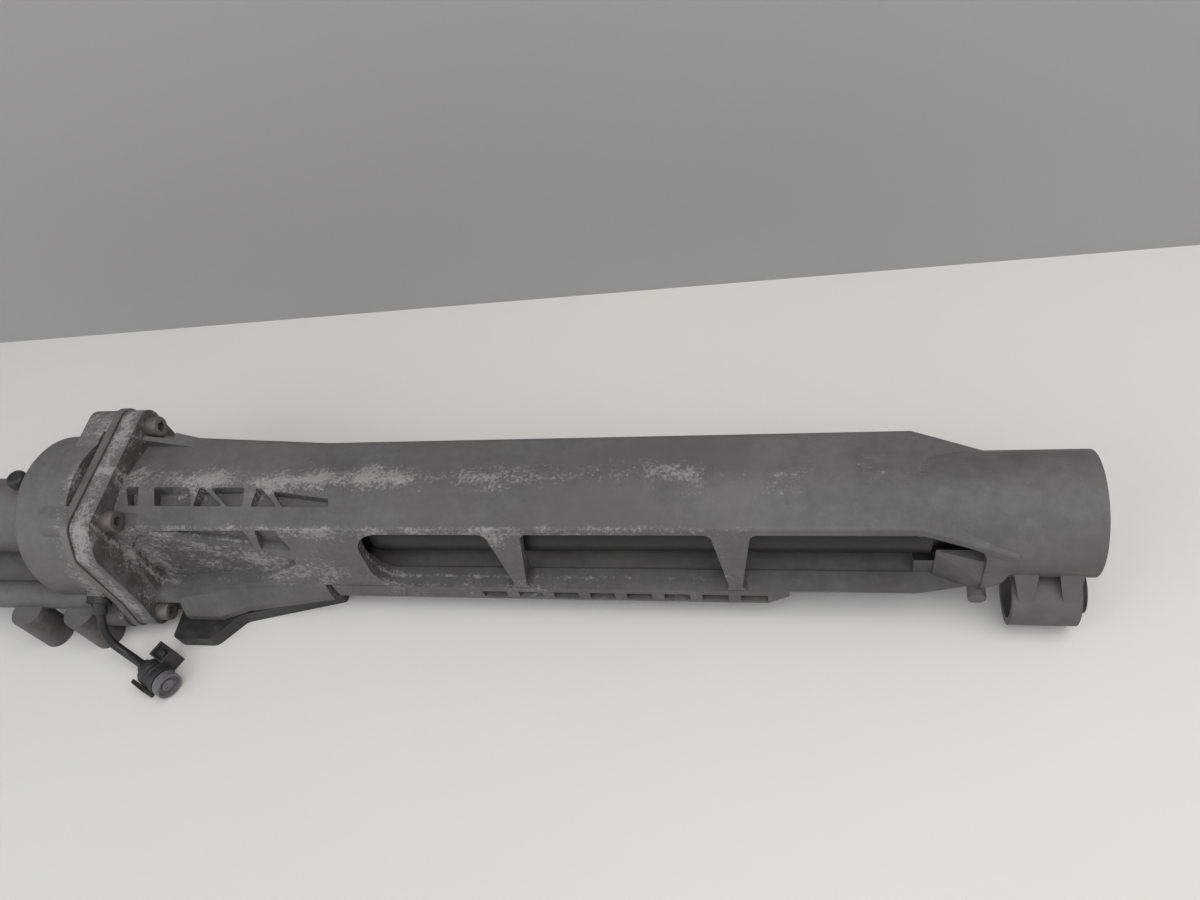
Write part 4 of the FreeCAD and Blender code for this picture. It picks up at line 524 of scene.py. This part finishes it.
def make_polymer(name, tone, dust, rough, dusty):
    """A moulded black piece with a fine grain and a film of dust."""
    finish = bpy.data.materials.new(name)
    finish.use_nodes = True
    tree = finish.node_tree
    shader = tree.nodes["Principled BSDF"]
    place = tree.nodes.new("ShaderNodeTexCoord").outputs["Object"]
    fine = add_noise(tree, place, *moulded_grain_noise)
    film = add_ramp(tree, add_noise(tree, place, *dust_noise), *dust_range)
    colour = add_mix(tree, add_math(tree, "MULTIPLY", film, dusty), tone, dust)
    tree.links.new(colour, shader.inputs["Base Color"])
    tree.links.new(add_math(tree, "ADD", add_math(tree, "MULTIPLY", film, dust_roughness), rough),
                   shader.inputs["Roughness"])
    bump = add_node(tree, "ShaderNodeBump", Strength=moulded_bump, Distance=moulded_bump_height, Height=fine)
    tree.links.new(bump.outputs["Normal"], shader.inputs["Normal"])
    return finish


seal_rubber = make_polymer("seal_rubber", tone=(0.016, 0.015, 0.015), dust=(0.07, 0.06, 0.052),
                           rough=0.6, dusty=0.5)
housing_plastic = make_polymer("housing_plastic", tone=(0.018, 0.018, 0.019), dust=(0.07, 0.062, 0.055),
                               rough=0.42, dusty=0.45)
seal_ring_plastic = make_polymer("seal_ring_plastic", tone=(0.13, 0.12, 0.135), dust=(0.20, 0.18, 0.17),
                                 rough=0.45, dusty=0.4)
board_lacquer = make_polymer("board_lacquer", tone=(0.03, 0.15, 0.07), dust=(0.06, 0.20, 0.10),
                             rough=0.25, dusty=0.3)
lead_jacket = make_polymer("lead_jacket", tone=(0.010, 0.010, 0.011), dust=(0.05, 0.045, 0.04),
                           rough=0.38, dusty=0.3)
dress(seal_rubber, "joint_gaskets", "outboard_seal", "stub_seal", "bush_rubber")
dress(housing_plastic, "actuator_housing", "speed_sensor", "breather_cap", "connector_shell",
      "connector_clip")
dress(seal_ring_plastic, "connector_seal_ring")
dress(board_lacquer, "actuator_board")
lead_curve.materials.append(lead_jacket)
print("rubber and plastic finishes done")

# %% [markdown]
# The small pieces nearest to the eye are modelled one by one.
# Each starts as a primitive that stands on its end, and is shaped in edit mode:
# the end face is picked by its normal, then inset, extruded and scaled, and edges are bevelled.
# These helpers pick parts of the mesh, grow its end and put the finished piece in place.
# A finished piece shades smooth where its faces meet at less than the smooth angle.

# %% Modelling helpers
same_height = 1e-6
faces_that_way = 0.9
smooth_angle = math.radians(35)


def start_rod(name, radius, length, sides=48):
    """A rod standing on the origin along Z, alone and in edit mode."""
    bpy.ops.object.select_all(action="DESELECT")
    bpy.ops.mesh.primitive_cylinder_add(vertices=sides, radius=radius, depth=length,
                                        location=(0, 0, length / 2))
    rod = bpy.context.object
    rod.name = name
    bpy.ops.object.transform_apply(location=True, rotation=True, scale=True)
    bpy.ops.object.mode_set(mode="EDIT")
    bpy.ops.mesh.select_mode(type="FACE")
    return rod


def pick(solid, kind, test):
    """Selects only the faces or edges that pass the test."""
    bpy.ops.mesh.select_mode(type="FACE" if kind == "faces" else "EDGE")
    bpy.ops.mesh.select_all(action="DESELECT")
    shape = bmesh.from_edit_mesh(solid.data)
    for item in getattr(shape, kind):
        item.select_set(test(item))
    bmesh.update_edit_mesh(solid.data)


def end_face(solid, sign):
    """Selects the face at the rod's top (sign 1) or foot (sign -1)."""
    shape = bmesh.from_edit_mesh(solid.data)
    reach = max(sign * vertex.co.z for vertex in shape.verts)
    pick(solid, "faces", lambda face: sign * face.normal.z > faces_that_way
         and all(sign * vertex.co.z > reach - same_height for vertex in face.verts))


def push(x=0.0, y=0.0, z=0.0):
    """Extrudes the picked face by that much."""
    bpy.ops.mesh.extrude_region_move(TRANSFORM_OT_translate={"value": (x, y, z)})


def grow(length, factor=1.0):
    """Extrudes the picked face along Z and scales the new end."""
    push(z=length)
    bpy.ops.transform.resize(value=(factor, factor, 1))


def settle(solid, place, finish, replaced, body="housing"):
    """Leaves edit mode, moves the mesh to its place and puts the piece on its body."""
    if solid.mode == "EDIT":
        bpy.ops.object.mode_set(mode="OBJECT")
    solid.data.transform(place)
    bpy.ops.object.select_all(action="DESELECT")
    solid.select_set(True)
    bpy.context.view_layer.objects.active = solid
    bpy.ops.object.shade_smooth_by_angle(angle=smooth_angle)
    solid.data.materials.clear()
    solid.data.materials.append(finish)
    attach(solid, body)
    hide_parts(replaced)
    return solid


print("modelling helpers ready")

# %% [markdown]
# The joint is held by four M8 cap bolts with a six-lobe recess.
# The head is a rod with a bevelled rim.
# Its top face is inset, the inner ring is waved into six lobes and pushed down.
# One bolt is modelled, and the others are copies with their own mesh.

# %% Cap bolts
bolt_radius, head_radius, head_length, shank_length = 0.004, 0.0065, 0.008, 0.0336
recess_radius, lobe_height, lobe_count, recess_depth = 0.0030, 0.00045, 6, 0.0042
rim_bevel, rim_steps = 0.0010, 3
flange_face_x = -0.543
bolt_places = [(0.0445, 0.036), (-0.026, 0.036), (-0.048, -0.039), (0.044, -0.039)]

bolt = start_rod("cap_bolt", head_radius, head_length)
pick(bolt, "edges", lambda edge: all(vertex.co.z > head_length - same_height for vertex in edge.verts)
     and len(edge.link_faces) == 2)
bpy.ops.mesh.bevel(offset=rim_bevel, segments=rim_steps, affect="EDGES")
end_face(bolt, 1)
bpy.ops.mesh.inset(thickness=head_radius - rim_bevel - recess_radius)
shape = bmesh.from_edit_mesh(bolt.data)
for vertex in {vertex for face in shape.faces if face.select for vertex in face.verts}:
    angle = math.atan2(vertex.co.y, vertex.co.x)
    radius = recess_radius + lobe_height * math.cos(lobe_count * angle)
    vertex.co.x, vertex.co.y = radius * math.cos(angle), radius * math.sin(angle)
bmesh.update_edit_mesh(bolt.data)
grow(-recess_depth)
end_face(bolt, -1)
bpy.ops.mesh.inset(thickness=head_radius - bolt_radius)
grow(-shank_length)
bpy.ops.object.mode_set(mode="OBJECT")
lay_down = Matrix.Rotation(math.radians(90), 4, "Y")
for number, (y, z) in enumerate(bolt_places, start=1):
    piece = bpy.data.objects.new(f"cap_bolt_{number}", bolt.data.copy())
    scene.collection.objects.link(piece)
    seat = Matrix.Translation((flange_face_x, y, z)) @ lay_down
    settle(piece, seat, dull_bolt, "flange_bolts")
bpy.data.objects.remove(bolt)
print("four cap bolts of", len(piece.data.polygons), "faces")

# %% [markdown]
# The lead ends in a small round connector: a collar, a shell with two grip grooves,
# a latch block beside it, a grey seal ring round its mouth and a clip.
# The round pieces grow from a rod, face by face, and the block and the clip are cubes
# whose edges are bevelled and whose top is cut into steps.
# A profile is a list of steps, each a length along the rod and a scale of its new end.

# %% Connector
connector_place, connector_swing = (-0.547, -0.083, table_z + 0.009), math.radians(-28)
sharp_edge = math.radians(40)
small_round, block_round = 0.0003, 0.0004
collar_radius, collar_start = 0.0048, 0.003
collar_profile = [(0.0006, 1.1), (0.0010, 1.1), (0.0012, 1.45), (0.0010, 1.055), (0.0040, 1.0)]
grip_profile = [(0.0003, 0.94), (0.0014, 1.0), (0.0003, 1 / 0.94), (0.0014, 1.0), (0.0003, 0.94),
                (0.0014, 1.0), (0.0003, 1 / 0.94), (0.0044, 1.0)]
latch_low, latch_high = (0.001, 0.0075, -0.0088), (0.014, 0.0178, 0.0058)
latch_rim, latch_floor, latch_boss_gap, latch_boss_height = 0.0016, 0.0022, 0.0018, 0.0018
latch_side_rim, latch_side_depth = 0.0022, 0.0010
mouth_radius, mouth_foot, mouth_start = 0.0085, 0.0012, 0.0212
mouth_wall, mouth_depth, plug_gap, plug_height = 0.0014, 0.0030, 0.0030, 0.0016
mouth_profile = [(0.0010, 0.97), (0.0012, 1.0), (0.0010, 1 / 0.97), (0.0014, 1.0)]
hook_low, hook_high = (0.002, -0.0120, -0.0088), (0.015, -0.0094, 0.0020)
hook_rim, hook_depth = 0.0006, 0.0016


def start_block(name, low, high):
    """A box between two corners, alone and in edit mode."""
    bpy.ops.object.select_all(action="DESELECT")
    bpy.ops.mesh.primitive_cube_add(size=1, location=[(a + b) / 2 for a, b in zip(low, high)])
    block = bpy.context.object
    block.name = name
    block.scale = [b - a for a, b in zip(low, high)]
    bpy.ops.object.transform_apply(location=True, rotation=True, scale=True)
    bpy.ops.object.mode_set(mode="EDIT")
    return block


def soften(solid, width):
    """Rounds every edge whose faces turn by more than the sharp edge's angle."""
    pick(solid, "edges", lambda edge: edge.calc_face_angle(0) > sharp_edge)
    bpy.ops.mesh.bevel(offset=width, segments=2, affect="EDGES")


connector_turn = Matrix.Translation(connector_place) @ Matrix.Rotation(connector_swing, 4, "Z")
along = connector_turn @ lay_down
shell = start_rod("connector_body", collar_radius, collar_start)
end_face(shell, 1)
for step, factor in collar_profile + grip_profile:
    grow(step, factor)
soften(shell, small_round)
settle(shell, along, housing_plastic, "connector_shell")

latch = start_block("connector_latch", latch_low, latch_high)
pick(latch, "faces", lambda face: face.normal.z > faces_that_way)
bpy.ops.mesh.inset(thickness=latch_rim)
push(z=-latch_floor)
bpy.ops.mesh.inset(thickness=latch_boss_gap)
push(z=latch_boss_height)
pick(latch, "faces", lambda face: face.normal.y > faces_that_way)
bpy.ops.mesh.inset(thickness=latch_side_rim)
push(y=-latch_side_depth)
soften(latch, block_round)
settle(latch, connector_turn, housing_plastic, "connector_shell")

mouth = start_rod("connector_mouth", mouth_radius, mouth_foot)
end_face(mouth, 1)
for step, factor in mouth_profile:
    grow(step, factor)
bpy.ops.mesh.inset(thickness=mouth_wall)
push(z=-mouth_depth)
bpy.ops.mesh.inset(thickness=plug_gap)
push(z=plug_height)
soften(mouth, small_round)
mouth_seat = along @ Matrix.Translation((0, 0, mouth_start))
settle(mouth, mouth_seat, seal_ring_plastic, "connector_seal_ring")

clip = start_block("connector_hook", hook_low, hook_high)
pick(clip, "faces", lambda face: face.normal.z > faces_that_way)
bpy.ops.mesh.inset(thickness=hook_rim)
push(z=-hook_depth)
soften(clip, block_round)
settle(clip, connector_turn, housing_plastic, "connector_clip")
print("connector of four pieces, shell faces", len(shell.data.polygons))

# %% [markdown]
# The breather cap on the spigot's root is a black moulded mushroom.
# It grows from a rod: a slim foot, a skirt that widens, and a domed lid with a shallow dish.

# %% Breather cap
foot_radius, foot_length = 0.0052, 0.0022
lid_profile = [(0.0006, 1.22), (0.0034, 1.0), (0.0010, 0.96), (0.0012, 0.86), (0.0008, 0.76)]
dish_rim, dish_depth = 0.0010, 0.0006

vent_low, vent_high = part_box("breather_cap")
vent_middle = (vent_low + vent_high) / 2
vent_place = Matrix.Translation((vent_middle.x, vent_middle.y, vent_low.z))
cap = start_rod("breather_lid", foot_radius, foot_length, sides=40)
end_face(cap, 1)
for step, factor in lid_profile:
    grow(step, factor)
bpy.ops.mesh.inset(thickness=dish_rim)
push(z=-dish_depth)
soften(cap, small_round)
settle(cap, vent_place, housing_plastic, "breather_cap")
print("breather cap of", len(cap.data.polygons), "faces")
